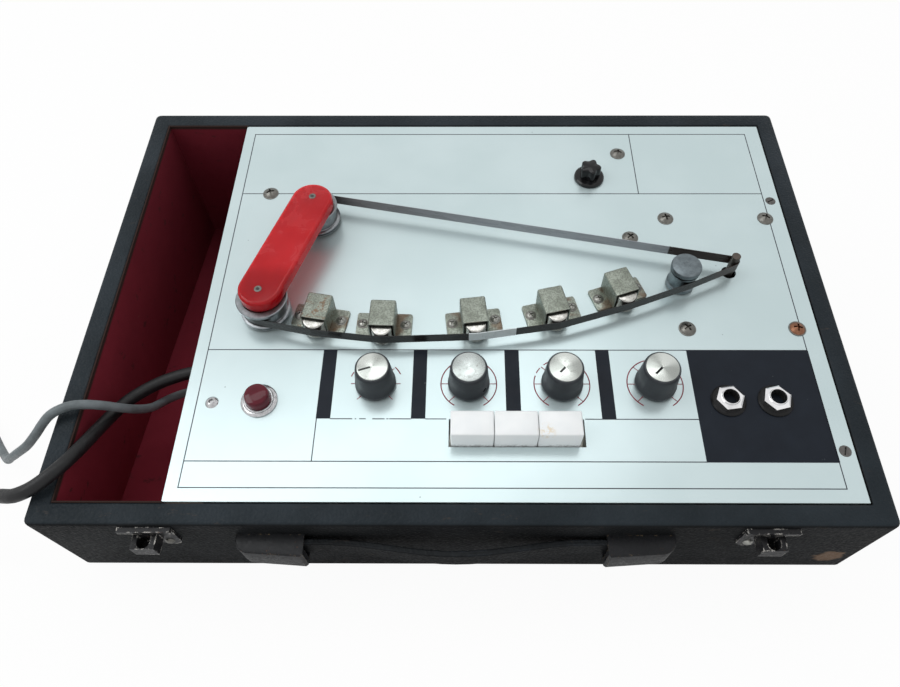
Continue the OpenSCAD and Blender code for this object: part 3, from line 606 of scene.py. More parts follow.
def coil_points(middle, outer, d, columns, start, way, end_turns):
    """Turns of a lead: inwards on the floor, up at the middle, outwards on top."""
    out = []
    count = round(end_turns * KNOTS_A_TURN)
    for k in range(1, count + 1):
        turn = k * end_turns / count
        inward = sum(ease((turn - n - 0.833) / SHIFT_TURN) for n in range(columns - 1))
        outward = sum(ease((turn - columns - n - 0.5) / SHIFT_TURN) for n in range(columns - 1))
        r = outer - d * (inward - outward)
        lift = ease((turn - (columns - 1) - 0.667) / SHIFT_TURN)
        angle = math.radians(start) + way * turn * 2 * math.pi
        x, y = middle[0] + r * math.cos(angle), middle[1] + r * math.sin(angle)
        out.append(Vector((x, y, d / 2 + d * lift)))
    return out


def lead_curve(name, points, d, material):
    data = bpy.data.curves.new(name, "CURVE")
    data.dimensions = "3D"
    spline = data.splines.new("BEZIER")
    spline.bezier_points.add(len(points) - 1)
    for knot, p in zip(spline.bezier_points, points):
        knot.co = p * MM
        knot.handle_left_type = knot.handle_right_type = "AUTO"
    spline.resolution_u = 3
    data.bevel_depth = d / 2 * MM
    data.bevel_resolution = 5
    data.use_fill_caps = True
    data.materials.append(material)
    return placed_object(name, data)


GREY_ROUTE = [Vector(p) for p in (
    (-131, -43.9, 49), (-151, -43.9, 49), (-164.9, -52.8, 52.7), (-170, -66.2, 61.7),
    (-174.9, -76.1, 74.8), (-183.7, -81.8, 85.8), (-195.2, -84.9, 89.9),
    (-205.9, -88.9, 87.1), (-215, -92.6, 77.6), (-226, -92.3, 64.8),
    (-239.8, -87.9, 50.1), (-254.6, -80.8, 33.2), (-269.6, -70.2, 15.6),
    (-289.3, -50.1, 5.4), (-312, -22, 2.6), (-330, 3.1, 2.4),
)]
BLACK_ROUTE = [Vector(p) for p in (
    (-131, -44.9, 66), (-150, -44.9, 66), (-168.3, -52.5, 65.7), (-180.2, -66, 67.9),
    (-185.4, -82.8, 72.6), (-187.6, -99.1, 78.6), (-190, -112.4, 83.3),
    (-194.9, -121.5, 84.4), (-202.5, -127.7, 82.5), (-212, -129.4, 78.7),
    (-222.6, -125.9, 72.3), (-233.8, -121.1, 61.1), (-246.2, -118.7, 46),
    (-261, -119.5, 29.9), (-279.8, -122.3, 16.1), (-304, -125.3, 7.1), (-332, -127, 3.6),
    (-356, -127, 3.5),
)]
# The ends of the coils, up to the plugs
GREY_END = [Vector(p) for p in ((-386, 45.2, 7.9), (-400, 45.1, 8.6), (-415, 45.1, 9))]
BLACK_END = [Vector(p) for p in ((-366, -127.1, 9.2), (-376, -127, 8), (-386, -127, 7.5))]
GREY_D, BLACK_D = 4.8, 7


def lead(name, points, d, finish, nodes_under):
    """A lead as one cord, in place of its seen part and its coil."""
    made = lead_curve(name, points, d, FINISHES[finish])
    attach(made, "case")
    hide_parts(*nodes_under)


lead(
    "grey_mains_lead",
    smoothed(GREY_ROUTE) + coil_points((-372, 3.1), 42, GREY_D, 4, 0, 1, 7.25) + GREY_END,
    GREY_D, "grey_cable", ("grey_lead", "grey_coil"),
)
lead(
    "black_signal_lead",
    smoothed(BLACK_ROUTE) + coil_points((-356, -86), 41, BLACK_D, 3, -90, -1, 5) + BLACK_END,
    BLACK_D, "black_cable", ("black_lead", "black_coil"),
)

# ---- making pieces

DRESSED = set()


def finished(name, shape, slot, *replaced, body="case", smooth=30, material=None):
    """Turns a bmesh in the model's metres into a piece that rides on a body and replaces nodes."""
    data = bpy.data.meshes.new(name)
    bmesh.ops.remove_doubles(shape, verts=shape.verts, dist=1e-7)
    bmesh.ops.recalc_face_normals(shape, faces=shape.faces)
    shape.to_mesh(data)
    shape.free()
    data.materials.append(material or FINISHES[slot])
    data.shade_smooth()
    data.set_sharp_from_angle(angle=math.radians(smooth))
    made = placed_object(name, data)
    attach(made, body)
    if replaced:
        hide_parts(*replaced)
        DRESSED.update(replaced)
    return made


def soften(made, width, segments):
    """Rounds a piece's edges by width millimetres."""
    edge = made.modifiers.new("soft_edges", "BEVEL")
    edge.width = width * MM
    edge.segments = segments
    edge.limit_method = "ANGLE"
    edge.angle_limit = math.radians(30)
    edge.harden_normals = True


def merged_copy(node):
    """A node's own faces, joined, with the flat ones made whole."""
    shape = bmesh.new()
    shape.from_mesh(nodes[node].data)
    bmesh.ops.remove_doubles(shape, verts=shape.verts, dist=2e-6)
    bmesh.ops.dissolve_limit(shape, angle_limit=math.radians(1), verts=shape.verts, edges=shape.edges)
    return shape


def trimmed(shape, point, way):
    """Cuts away all that lies beyond a point in one direction, and gives the edges of the cut."""
    whole = shape.verts[:] + shape.edges[:] + shape.faces[:]
    made = bmesh.ops.bisect_plane(shape, geom=whole, plane_co=point, plane_no=way, clear_outer=True)
    return [e for e in made["geom_cut"] if isinstance(e, bmesh.types.BMEdge)]


def below(node, z):
    """A node's faces lower than z millimetres over the panel, closed at the cut."""
    shape = turned_to(merged_copy(node), DECK.inverted())
    rims = trimmed(shape, (0, 0, z), (0, 0, 1))
    bmesh.ops.triangle_fill(shape, edges=rims, use_beauty=True)
    return turned_to(shape, DECK)


def dress(node, width, segments, smooth=40):
    """A softened copy of a node stands for it."""
    body = nodes[node]["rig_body"]
    made = finished(node + "_shape", merged_copy(node), SLOT_OF[node], node, body=body, smooth=smooth)
    soften(made, width, segments)


# ---- shapes


def turned(profile, steps=48):
    """A shape turned round the Z axis from (radius, height) points, in millimetres."""
    shape = bmesh.new()
    verts = [shape.verts.new((r, 0, z)) for r, z in profile]
    edges = [shape.edges.new(pair) for pair in zip(verts, verts[1:])]
    bmesh.ops.spin(
        shape, geom=verts + edges, cent=(0, 0, 0), axis=(0, 0, 1), angle=math.tau, steps=steps, use_merge=True
    )
    bmesh.ops.remove_doubles(shape, verts=shape.verts, dist=1e-4)
    return shape


def pulled_apart(shape, length):
    """Moves the halves of a turned shape apart along Y, which makes it a bar with round ends."""
    rear = [v for v in shape.verts if v.co.y > 0.001]
    front = [v for v in shape.verts if v.co.y < -0.001]
    bmesh.ops.translate(shape, verts=rear, vec=(0, length / 2, 0))
    bmesh.ops.translate(shape, verts=front, vec=(0, -length / 2, 0))
    return shape


def block(x0, x1, y0, y1, z0, z1):
    shape = bmesh.new()
    middle = moved((x0 + x1) / 2, (y0 + y1) / 2, (z0 + z1) / 2)
    bmesh.ops.create_cube(shape, size=1, matrix=middle @ Matrix.Diagonal((x1 - x0, y1 - y0, z1 - z0, 1)))
    return shape


def plate(outline, z0, z1):
    """A flat plate with the given outline, in millimetres."""
    shape = bmesh.new()
    face = shape.faces.new([shape.verts.new((x, y, z0)) for x, y in outline])
    made = bmesh.ops.extrude_face_region(shape, geom=[face])
    bmesh.ops.translate(shape, verts=verts_in(made), vec=(0, 0, z1 - z0))
    return shape


def band(r0, r1, start, sweep, z0, z1):
    """Part of a flat ring, its angles in degrees."""
    shape = bmesh.new()
    corners = [(r0, z0), (r1, z0), (r1, z1), (r0, z1)]
    face = shape.faces.new([shape.verts.new((r, 0, z)) for r, z in corners])
    turned_to(shape, yaw(start))
    bmesh.ops.spin(
        shape, geom=[face], cent=(0, 0, 0), axis=(0, 0, 1), angle=math.radians(sweep),
        steps=max(4, round(sweep / 5)),
    )
    return shape


def verts_in(made):
    return [v for v in made["geom"] if isinstance(v, bmesh.types.BMVert)]


def upright(edge):
    a, b = edge.verts
    return abs(a.co.z - b.co.z) > 0.001 and (a.co.xy - b.co.xy).length < 0.001


def edges_at(z):
    return lambda edge: all(abs(v.co.z - z) < 0.01 for v in edge.verts)


def rounded_edges(shape, width, segments, pick):
    edges = [e for e in shape.edges if pick(e)]
    bmesh.ops.bevel(
        shape, geom=edges, offset=width, segments=segments, profile=0.5, affect="EDGES", material=-1
    )
    return shape


def hollowed(shape, direction, wall, depth):
    """Sinks the flat face that looks in a direction, which leaves a wall round it."""
    way = Vector(direction)
    face = max((f for f in shape.faces if f.normal.dot(way) > 0.99), key=lambda f: f.calc_area())
    bmesh.ops.inset_region(shape, faces=[face], thickness=wall)
    made = bmesh.ops.extrude_face_region(shape, geom=[face])
    bmesh.ops.translate(shape, verts=verts_in(made), vec=-way * depth)
    shape.faces.remove(face)
    return shape


def turned_to(shape, matrix):
    bmesh.ops.transform(shape, matrix=matrix, verts=shape.verts)
    return shape


def gather(*parts):
    """Joins shapes in millimetres, each with its place, into one in metres."""
    whole = bmesh.new()
    for part, place in parts:
        data = bpy.data.meshes.new("part")
        turned_to(part, place)
        bmesh.ops.recalc_face_normals(part, faces=part.faces)
        part.to_mesh(data)
        part.free()
        whole.from_mesh(data)
        bpy.data.meshes.remove(data)
    return whole


def copies(master, places):
    """The same shape at each place."""
    return gather(*[(master.copy(), place) for place in places])


def cut(shape, *tools):
    """Takes the tools' shapes out of a shape, all in millimetres."""
    for tool in tools:
        items = []
        for source in (shape, tool):
            data = bpy.data.meshes.new("cutting")
            bmesh.ops.recalc_face_normals(source, faces=source.faces)
            source.to_mesh(data)
            source.free()
            items.append(placed_object("cutting", data))
        away = items[0].modifiers.new("away", "BOOLEAN")
        away.operation = "DIFFERENCE"
        away.object = items[1]
        away.solver = "EXACT"
        bpy.context.view_layer.update()
        seen = items[0].evaluated_get(bpy.context.evaluated_depsgraph_get())
        shape = bmesh.new()
        shape.from_mesh(seen.to_mesh())
        for item in items:
            data = item.data
            bpy.data.objects.remove(item)
            bpy.data.meshes.remove(data)
    return shape


# ---- case


def covered_case():
    """The covered box: a wedge with its tray cut out, and softly rounded edges."""
    def wedge(inset, top, depth, corner):
        x, y = CASE_W / 2 - inset, CASE_D / 2 - inset
        shape = rounded_edges(block(-x, x, -y, y, -2 * FRONT_H, top), corner, 4, upright)
        for v in shape.verts:
            if v.co.z < 0:
                v.co.z = -depth - (v.co.y + CASE_D / 2) * math.tan(SLOPE)
        return shape

    def inner_lip(edge):
        x, y = edge.verts[0].co.xy
        inside = abs(x) < CASE_W / 2 - BOARD_T / 2 and abs(y) < CASE_D / 2 - BOARD_T / 2
        return edges_at(RIM)(edge) and inside and any(abs(f.normal.z) < 0.5 for f in edge.link_faces)

    outer = wedge(0, RIM, FRONT_H, CORNER_R)
    slant = Matrix.Rotation(-SLOPE, 3, "X") @ Vector((0, 0, 1))
    rounded_edges(outer, 2.0, 4, edges_at(RIM))
    bottom = [f for f in outer.faces if f.normal.dot(slant) < -0.98]
    rounded_edges(outer, 1.6, 3, lambda e: sum(f in bottom for f in e.link_faces) == 1)
    shape = cut(outer, wedge(BOARD_T, RIM + 5, FRONT_H - BASE_T, 0.4))
    rounded_edges(shape, 1.2, 3, inner_lip)
    boards = ("front_board", "rear_board", "side_boards", "base_board")
    finished("covered_case", turned_to(shape, DECK), "covered_board", *boards, smooth=35)


def handle():
    """The strap, and the bent end caps that it slides in."""
    def long_corner(edge):
        x, y = edge.verts[0].co.xy
        return upright(edge) and abs(x) > 17 and y > 1

    def outer_edge(edge):
        clear = all(abs(v.co.x) > 1.1 for v in edge.verts) and any(v.co.y > 1 for v in edge.verts)
        return clear and not upright(edge)

    outline = [(0, 0), (0, 9.6), (1.2, 10.8), (28, 9), (31.5, 6.8), (33, 3.4), (33, 0)]
    caps = []
    for inner_end, side in ((-75, -1), (70, 1)):
        cap = plate([(side * x, y) for x, y in outline], 0, 18)
        rounded_edges(cap, 1.3, 4, long_corner)
        rounded_edges(cap, 0.9, 3, outer_edge)
        mouth = block(*sorted((side * -1, side * 22)), -1, 6.6, 1.4, 16.6)
        place = FRONT @ moved(inner_end, -13, 0) @ Matrix.Rotation(math.pi / 2, 4, "X")
        caps.append((cut(cap, mouth), place))
    finished("handle_caps", gather(*caps), "black_metal", "handle_end_caps", material=CAP_METAL)
    dress("handle_strap", 0.8, 3)


def keepers():
    dress("lid_keepers", 0.35, 2)
    for side, x, coat in (("left", -141.7, DOME_METAL), ("right", 139.2, SCREW_METAL)):
        rivet = gather((domed_head(2.6, 1.4), FRONT @ moved(x, -20, 1.2)))
        finished(f"{side}_keeper_rivet", rivet, "bright_steel", smooth=40, material=coat)


# ---- screws


def domed_head(r, h, recess=None):
    """A screw head with a cross, a socket or nothing in it."""
    big = (r * r + h * h) / (2 * h)
    top = [(0, h)] + [(r * k / 8, h - big + math.sqrt(big * big - (r * k / 8) ** 2)) for k in range(1, 9)]
    head = turned(top + [(r, -0.25), (1.4, -0.25), (1.4, -2.2), (0, -2.2)], 32)
    low, high = h * 0.25, h + 1
    if recess == "cross":
        arm, half = r * 0.52, r * 0.12
        return cut(head, block(-arm, arm, -half, half, low, high), block(-half, half, -arm, arm, low, high))
    if recess == "socket":
        return cut(head, turned([(0, low), (r * 0.34, low), (r * 0.46, high), (0, high)], 20))
    return head


DOME_SCREWS = [
    (-118.1, 68.5, 20), (99.4, 102.9, 75), (99.2, 33.5, 40), (122.2, 48.4, 10),
    (182, 48.4, 65), (122.7, -30.3, 35), (182.3, -30.2, 80),
]
SMALL_SCREWS = [(188.3, 62.6, 30), (188.7, -101.5, 70)]
CHROME_SCREW = at(-127.8, -75.4)
# Between the feet's screws and the fixings higher up, in metres
FEET_TOP = 0.03


def panel_screws():
    """The panel's domed screws, the last of them rusty, and its two small flat ones."""
    places = [at(x, y, turn) for x, y, turn in DOME_SCREWS]
    head = domed_head(4.45, 2.3, "cross")
    sound = copies(head, places[:-1])
    rusty = copies(head, places[-1:])
    finished("panel_dome_screws", sound, "bronze_screw", smooth=40, material=DOME_METAL)
    finished("rusty_dome_screw", rusty, "bronze_screw", smooth=40, material=RUSTY_METAL)
    flange = turned([(3.9, 0.0), (4.75, 0.0), (4.7, 0.28), (3.9, 0.4), (3.9, 0.0)], 40)
    finished("screw_flanges", copies(flange, places), "bronze_screw", material=DOME_METAL)
    flat = turned([(0, 0.1), (3.0, 0.1), (3.1, 0), (1.6, -1.4), (0, -1.4)], 28)
    flat = cut(flat, block(-2.2, 2.2, -0.4, 0.4, -0.5, 1))
    small = copies(flat, [at(x, y, turn) for x, y, turn in SMALL_SCREWS])
    finished("panel_flat_screws", small, "bronze_screw", material=FLAT_METAL)
    finished("panel_bolts", below("panel_screws", -1.45), "bronze_screw", "panel_screws", smooth=35)


def case_fixings():
    """The chrome screw beside the lamp and its shank, and the feet's screws."""
    chrome = gather((domed_head(3.4, 1.7, "socket"), CHROME_SCREW))
    finished("chrome_dome_screw", chrome, "bright_steel", smooth=40, material=DULL_CHROME)
    feet_bolts = merged_copy("case_fixings")
    higher = [v for v in feet_bolts.verts if v.co.z > FEET_TOP]
    bmesh.ops.delete(feet_bolts, geom=higher, context="VERTS")
    finished("feet_bolts", feet_bolts, "bright_steel", "case_fixings")
    shank = turned([(0, -12), (1.5, -12), (1.5, -0.5), (0, -0.5)], 24)
    finished("dome_screw_shank", gather((shank, CHROME_SCREW)), "bright_steel")


# ---- panel

PRINT_T = 0.06
# Printed lines as x0, x1, y0, y1: the frame and its divisions
FRAME_LINES = [
    (-135.6, 184.2, 120.5, 121.0), (-135.6, 184.2, 68.25, 68.75), (-135.6, 184.2, -44.1, -43.6),
    (-135.6, 184.2, -107.65, -107.15), (-135.6, 184.2, -121.2, -120.7), (-135.85, -135.35, -121.2, 121.0),
    (183.95, 184.45, -121.2, 121.0), (108.35, 108.85, 68.5, 121.0), (-73.4, -72.9, -107.4, -84.4),
]
# What is left of the line over the keys, which is rubbed away in places
WORN_Y = (-84.75, -84.25)
WORN_DASHES = [
    (62.6, 119.8), (-66.2, -55), (-53.7, -53), (-51.5, -48.2), (-44.9, -38.6), (-37.8, -36.7),
    (-36.3, -25.4), (-18.1, -7.5),
]
BARS = [(x0, x1, -84.4, -43.8) for x0, x1 in ((-73.5, -66.2), (-25.4, -18.1), (22.9, 30.5), (71.2, 78.4))]
JACK_FIELD = (119.8, 184.6, -107.4, -44)


def printed(name, areas, ink):
    layers = [(block(*area, 0, PRINT_T), DECK) for area in areas]
    finished(name, gather(*layers), "panel", material=ink)


def panel_print():
    printed("printed_lines", FRAME_LINES + [(*dash, *WORN_Y) for dash in WORN_DASHES], INK)
    printed("printed_bars", [*BARS, JACK_FIELD], BAR_INK)


# Each dial's radius, where its ticks end, its arcs as start and sweep, and its ticks' angles
TICKS = (-45, 0, 45, 90, 135, 180, 225)
WHOLE_DIAL = (14.15, 14.5, [(-59, 298)], TICKS)
DIALS = [
    (13.45, 12.9, [(24, 22), (150, 12)], (-45, 0, 45, 180, 225)),
    WHOLE_DIAL,
    (14.15, 14.5, [(-59, 187), (139, 14), (160, 79)], TICKS),
    WHOLE_DIAL,
]


def dial_rings():
    rings = []
    for i, (r, tick_end, arcs, angles) in enumerate(DIALS):
        place = knob_place(i)
        rings += [(band(r, r + 0.6, start, sweep, 0, PRINT_T), place) for start, sweep in arcs]
        rings += [(block(9.8, tick_end, -0.22, 0.22, 0, PRINT_T), place @ yaw(angle)) for angle in angles]
    finished("dial_rings", gather(*rings), "panel", material=DIAL_INK)


# ---- knobs, keys, lamp, fuse, jacks


def knob(i, skirt, disc, pointer=None):
    """A knob with its spun disc, and its pointer as angle, near end, far end and half width."""
    place, own, high = knob_place(i), f"knob_{i + 1}", KNOB_H
    body = turned([
        (0, 0.8), (skirt - 0.4, 0.8), (skirt, 1.2), (skirt, 2.6), (skirt - 0.25, 3.0), (skirt - 0.75, 9.0),
        (disc + 1.15, high - 2.2), (disc + 0.95, high - 0.9), (disc + 0.55, high - 0.25), (disc + 0.15, high),
        (disc, high - 0.1), (disc, high - 0.8), (0, high - 0.8),
    ], 72)
    if i == DULL_KNOB:
        hole = turned([(0, 5), (1.5, 5), (1.5, 14), (0, 14)], 20)
        aim = moved(0, 0, 5.2) @ yaw(-38) @ Matrix.Rotation(math.pi / 2, 4, "Y")
        body = cut(body, turned_to(hole, aim))
    finished(f"knob_body_{i + 1}", gather((body, place)), "knob", own, body=own)
    cap = gather((turned([
        (0, high - 0.7), (disc - 0.1, high - 0.7), (disc - 0.1, high - 0.05), (disc - 0.5, high + 0.1),
        (0, high + 0.1),
    ], 64), place))
    name = f"spun_disc_{i + 1}"
    finished(name, cap, "spun_cap", f"knob_cap_{i + 1}", body=own, material=spun_disc(i))
    if pointer:
        angle, near, far, width = pointer
        mark = gather((block(near, far, -width, width, high, high + 0.16), place @ yaw(angle)))
        finished(f"pointer_{i + 1}", mark, "knob", body=own, material=FINISHES["bakelite"])


def knobs():
    knob(0, 10.6, 7.9, (198, 1.0, 7.1, 0.48))
    knob(1, 10.8, 8.35)
    knob(2, 10.8, 8.35, (226, 0.3, 4.3, 0.56))
    knob(3, 10.8, 8.35, (224, 0.2, 5.5, 0.6))


def echo_keys():
    for i in range(3):
        x = -5.1 + KEY_PITCH * i
        key = block(x, x + KEY_W, -99.3, -86.1, -4.6, KEY_TOP)
        rounded_edges(key, 0.8, 4, lambda e: any(v.co.z > 0 for v in e.verts))
        name, body = f"key_block_{i + 1}", f"key_{i + 1}"
        finished(name, gather((key, DECK)), "white_key", f"echo_key_{i + 1}", body=body, smooth=50)


def lamp():
    place = at(-103.5, -74.6)
    lens = turned([
        (0, 8.6), (3.2, 8.55), (4.9, 8.3), (5.9, 7.8), (6.35, 6.9), (6.5, 5.6), (6.5, 2.4), (5.2, 2.2),
        (5.2, -2), (0, -2),
    ], 64)
    rim = turned([
        (5.4, -1), (5.4, 2.0), (6.6, 2.2), (6.7, 2.6), (7.3, 2.6), (7.7, 2.2), (7.8, 1.6), (8.9, 1.25),
        (9.35, 0.8), (9.4, 0.0), (8.6, 0.0), (6.0, -1), (5.4, -1),
    ], 64)
    tail = turned([(5.3, -26), (6, -26), (6, -1), (5.3, -1), (5.3, -26)], 32)
    finished("lamp_dome", gather((lens, place)), "lens", "lamp_lens")
    bezel = gather((rim, place), (tail, place))
    finished("lamp_rim", bezel, "chrome", "lamp_bezel", material=DULL_CHROME)


LOBES, LOBE_DEPTH = 5, 0.16


def fuse():
    """The fuse holder, and its cap with a grip of five lobes."""
    place = at(79.2, 82)
    flange = turned([
        (5.2, 0), (9.2, 0), (9.3, 0.4), (9.1, 1.6), (8.3, 2.3), (6.2, 2.6), (5.2, 2.6), (5.2, 0),
    ], 64)
    barrel = turned([(0, -34), (6.3, -34), (6.3, 0.2), (0, 0.2)], 32)
    finished("fuse_flange", gather((flange, place), (barrel, place)), "bakelite", "fuse_holder")
    grip = turned([(0, 2.4), (5.5, 2.4), (5.5, 9.4), (5.2, 9.9), (4.6, 10.2), (0, 10.2)], 80)
    for v in grip.verts:
        lobe = 1 + LOBE_DEPTH * math.cos(LOBES * math.atan2(v.co.y, v.co.x) + 0.6)
        v.co.x *= lobe
        v.co.y *= lobe
    stem = turned([(0, 2), (5.0, 2), (5.0, 3.2), (0, 3.2)], 32)
    cap = gather((grip, place), (stem, place))
    finished("fuse_grip", cap, "bakelite", "fuse_cap", body="fuse_cap", smooth=40)


def jacks():
    """The two sockets, each with a hexagon nut, a washer, a bush and its dark bore."""
    places = [at(136.6, -74.1, 8), at(160.5, -74.2, 14)]
    nut = turned([(4.7, 1.3), (7.33, 1.3), (7.33, 4.0), (6.3, 4.7), (4.7, 4.7), (4.7, 1.3)], 6)
    washer = turned([(4.75, 0), (8.9, 0), (8.9, 0.7), (8.2, 1.35), (4.75, 1.35), (4.75, 0)], 56)
    bush = turned([
        (4.0, -1), (4.0, 5.2), (4.15, 5.5), (4.45, 5.5), (4.65, 5.2), (4.65, -1), (4.0, -1),
    ], 40)
    bore = turned([
        (3.2, -20), (3.2, -0.5), (3.9, 0), (3.9, 4.9), (4.02, 4.9), (4.02, -1), (3.4, -1), (3.4, -20),
        (3.2, -20),
    ], 40)
    finished("jack_hex_nuts", copies(nut, places), "chrome", "jack_nuts", smooth=20)
    finished("jack_washers", copies(washer, places), "socket", material=WASHER_BLACK)
    finished("jack_bushes", copies(bush, places), "chrome")
    finished("jack_bores", copies(bore, places), "socket")
    finished("jack_bodies", below("jack_sockets", -0.02), "socket", "jack_sockets", smooth=35)


# ---- tape transport

REAR_PULLEY, FRONT_PULLEY = Vector((-86, 46)), Vector((-107.4, -19.6))


def bridge():
    """The red bar over the two pulleys, and the hollow eyelets that hold it, with black discs in their holes
    as painted shade.
    """
    line = REAR_PULLEY - FRONT_PULLEY
    place = at(*((REAR_PULLEY + FRONT_PULLEY) / 2), math.degrees(math.atan2(line.y, line.x)) - 90)
    shape = turned([
        (0, 22), (9.8, 22), (10.5, 21.9), (11.1, 21.6), (11.55, 21.1), (11.8, 20.4), (11.8, 15.4),
        (11.6, 15.2), (10.5, 15.2), (10.4, 20.2), (0, 20.2),
    ])
    pulled_apart(turned_to(shape, yaw(3.75)), line.length - 3.5)
    finished("red_bridge", gather((shape, place)), "bridge", "pulley_bridge")
    eyelet = turned([(0.95, 21.4), (0.95, 22.1), (1.2, 22.3), (1.6, 22.3), (1.95, 22.15), (2.0, 21.95)], 28)
    # A black disc fills each eyelet's hole: painted shade.
    shade_disc = turned([(0, 22.05), (1.0, 22.05), (1.0, 21.5), (0, 21.5)], 20)
    places = [at(*REAR_PULLEY), at(*FRONT_PULLEY)]
    finished("bridge_eyelets", copies(eyelet, places), "bronze_screw", smooth=40, material=DOME_METAL)
    finished("eyelet_shade_discs", copies(shade_disc, places), "socket")
    studs = "transport_studs"
    finished("stud_shafts", below(studs, 21.4), SLOT_OF[studs], studs)


def pulley(name, middle, top):
    wheel = turned([
        (3.06, 1.2), (12.9, 1.2), (13.2, 1.4), (13.2, 2.1), (12.5, 2.3), (12.5, 2.7), (13.3, 2.9),
        (13.4, 3.1), (13.4, 3.9), (13.0, 4.2), (11.8, 4.4), (11.6, 4.6), (11.6, 11.6), (12.3, 11.8),
        (12.3, 12.1), (top - 0.3, 12.4), (top, 12.7), (top, 14.1), (top - 0.4, 14.6), (10.6, 14.6),
        (10.2, 14.1), (6.5, 14.1), (6.1, 15.2), (3.06, 15.2), (3.06, 1.2),
    ], 72)
    finished(name + "_wheel", gather((wheel, at(*middle))), "wheel", name, body=name)


def guide_roller():
    wheel = turned([
        (2.56, 0.8), (7.7, 0.8), (7.9, 1.0), (7.9, 3.5), (7.4, 4.0), (7.3, 4.2), (7.3, 11.8), (7.4, 12.1),
        (7.9, 12.4), (7.9, 13.3), (6.0, 13.5), (6.0, 14.3), (7.9, 14.4), (8.3, 14.8), (8.3, 16.8),
        (8.0, 17.35), (7.5, 17.6), (2.0, 17.6), (1.9, 17.45), (0, 17.45), (0, 15.4), (2.56, 15.4),
        (2.56, 0.8),
    ], 72)
    own, roller = "guide_roller", gather((wheel, at(123, -0.2)))
    finished("roller_wheel", roller, "wheel", own, body=own, material=ROLLER_METAL)


# Each head's place and turn
HEADS = [
    at(-79.5, -37.6, -10), at(-42.5, -42, -2), at(8.3, -40, 7), at(52.5, -33, 13.5),
    at(91.5, -20.4, 19.5),
]


def head(i, place):
    """A head's can with its open front, its two ears and its filling."""
    def shell_edge(edge):
        return any(v.co.z > 1 for v in edge.verts) and any(v.co.y > 6 for v in edge.verts)

    can = block(-6.9, 6.9, 5, 21.4, 0, 14)
    rounded_edges(can, 1.1, 4, shell_edge)
    hollowed(can, (0, -1, 0), 0.7, 8)
    ears = []
    for side in (-1, 1):
        ear = block(*sorted((side * 6.6, side * 15.1)), 6.3, 20.7, 0, 1.4)
        rounded_edges(ear, 1.3, 4, lambda e: upright(e) and abs(e.verts[0].co.x) > 10)
        rounded_edges(ear, 0.25, 2, edges_at(1.4))
        ears.append((ear, place))
    shell, coat = gather((can, place), *ears), HEAD_METAL[i > 1]
    finished(f"head_case_{i}", shell, "head_can", f"head_{i}", material=coat)
    filling = block(-6.1, 6.1, 8.0, 16, 0.3, 13.2)
    finished(f"head_filling_{i}", gather((filling, place)), "socket")


def head_poles():
    poles = []
    for r, place in zip((6.3, 5.6, 5.6, 5.6, 5.6), HEADS):
        pole = turned([
            (0, 1.8), (r - 0.2, 1.8), (r, 2.0), (r, 10.9), (r - 0.15, 11.35), (r - 0.5, 11.7),
            (r - 0.9, 11.8), (0, 11.8),
        ])
        poles.append((pole, place @ moved(0, r, 0)))
    finished("head_pole_pieces", gather(*poles), "head_core", "head_cores", smooth=40)


def heads():
    spots = []
    for i, place in enumerate(HEADS, 1):
        head(i, place)
        for side in (-1, 1):
            ear = place @ moved(side * 11.7, 13.5, 1.45)
            spots.append(ear @ Matrix.Rotation(side * 0.5 + i, 4, "Z"))
    screws = copies(domed_head(2.65, 1.5, "cross"), spots)
    finished("head_fixing_screws", screws, "bright_steel", "head_screws", smooth=40, material=SCREW_METAL)
    flange = turned([(2.4, 0), (3.0, 0), (2.95, 0.22), (2.4, 0.3), (2.4, 0)], 32)
    finished("head_screw_flanges", copies(flange, spots), "bright_steel", material=DOME_METAL)
    head_poles()


# The splicing film: its ends along the panel, and how far it stands off the tape
PATCH_LEFT, PATCH_RIGHT, FILM_T = 4, 29, 0.09


def splice_patch():
    """The pale film that joins the tape's ends, on the front run between two heads."""
    shape = turned_to(merged_copy("tape_loop"), DECK.inverted())
    for x, way in ((PATCH_LEFT, -1), (PATCH_RIGHT, 1)):
        trimmed(shape, (x, 0, 0), (way, 0, 0))
    bmesh.ops.delete(shape, geom=[v for v in shape.verts if v.co.y > 0], context="VERTS")
    bmesh.ops.holes_fill(shape, edges=shape.edges)
    bmesh.ops.recalc_face_normals(shape, faces=shape.faces)
    shape.normal_update()
    outward = {v: v.normal.copy() for v in shape.verts}
    for v, way in outward.items():
        v.co += way * FILM_T
    body = nodes["tape_loop"]["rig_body"]
    finished("splice_patch", turned_to(shape, DECK), "tape", body=body, material=PATCH_FILM)


# ---- sleeves of the leads

DIVIDER_X = -140


def sleeve(name, route, r0):
    """A flange on the divider, a shank through it, and a thin taper that lies inside the lead."""
    path = [p for p in smoothed(smoothed(route)) if DIVIDER_X - 13 < p.x < DIVIDER_X - 1]
    made = lead_curve(name, path, 2.0, FINISHES["rubber"])
    for k, knot in enumerate(made.data.splines[0].bezier_points):
        knot.radius = (5 - (4.3 - r0) * k / (len(path) - 1)) / 2
    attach(made, "case")
    flange = turned([(r0, 0.8), (7, 0.8), (7.1, 1.4), (6.6, 2.6), (5.4, 3.0), (r0, 3.0), (r0, 0.8)], 40)
    shank = turned([(r0, -9), (5, -9), (5, 0.8), (r0, 0.8), (r0, -9)], 32)
    middle = LEVEL @ moved(DIVIDER_X, route[0].y, route[0].z)
    place = middle @ Matrix.Rotation(-math.pi / 2, 4, "Y")
    return [(flange, place), (shank, place)]


def sleeves():
    parts = sleeve("grey_lead_sleeve", GREY_ROUTE, 2.45) + sleeve("black_lead_sleeve", BLACK_ROUTE, 3.55)
    finished("lead_flanges", gather(*parts), "rubber", "lead_grommets")


# ---- everything

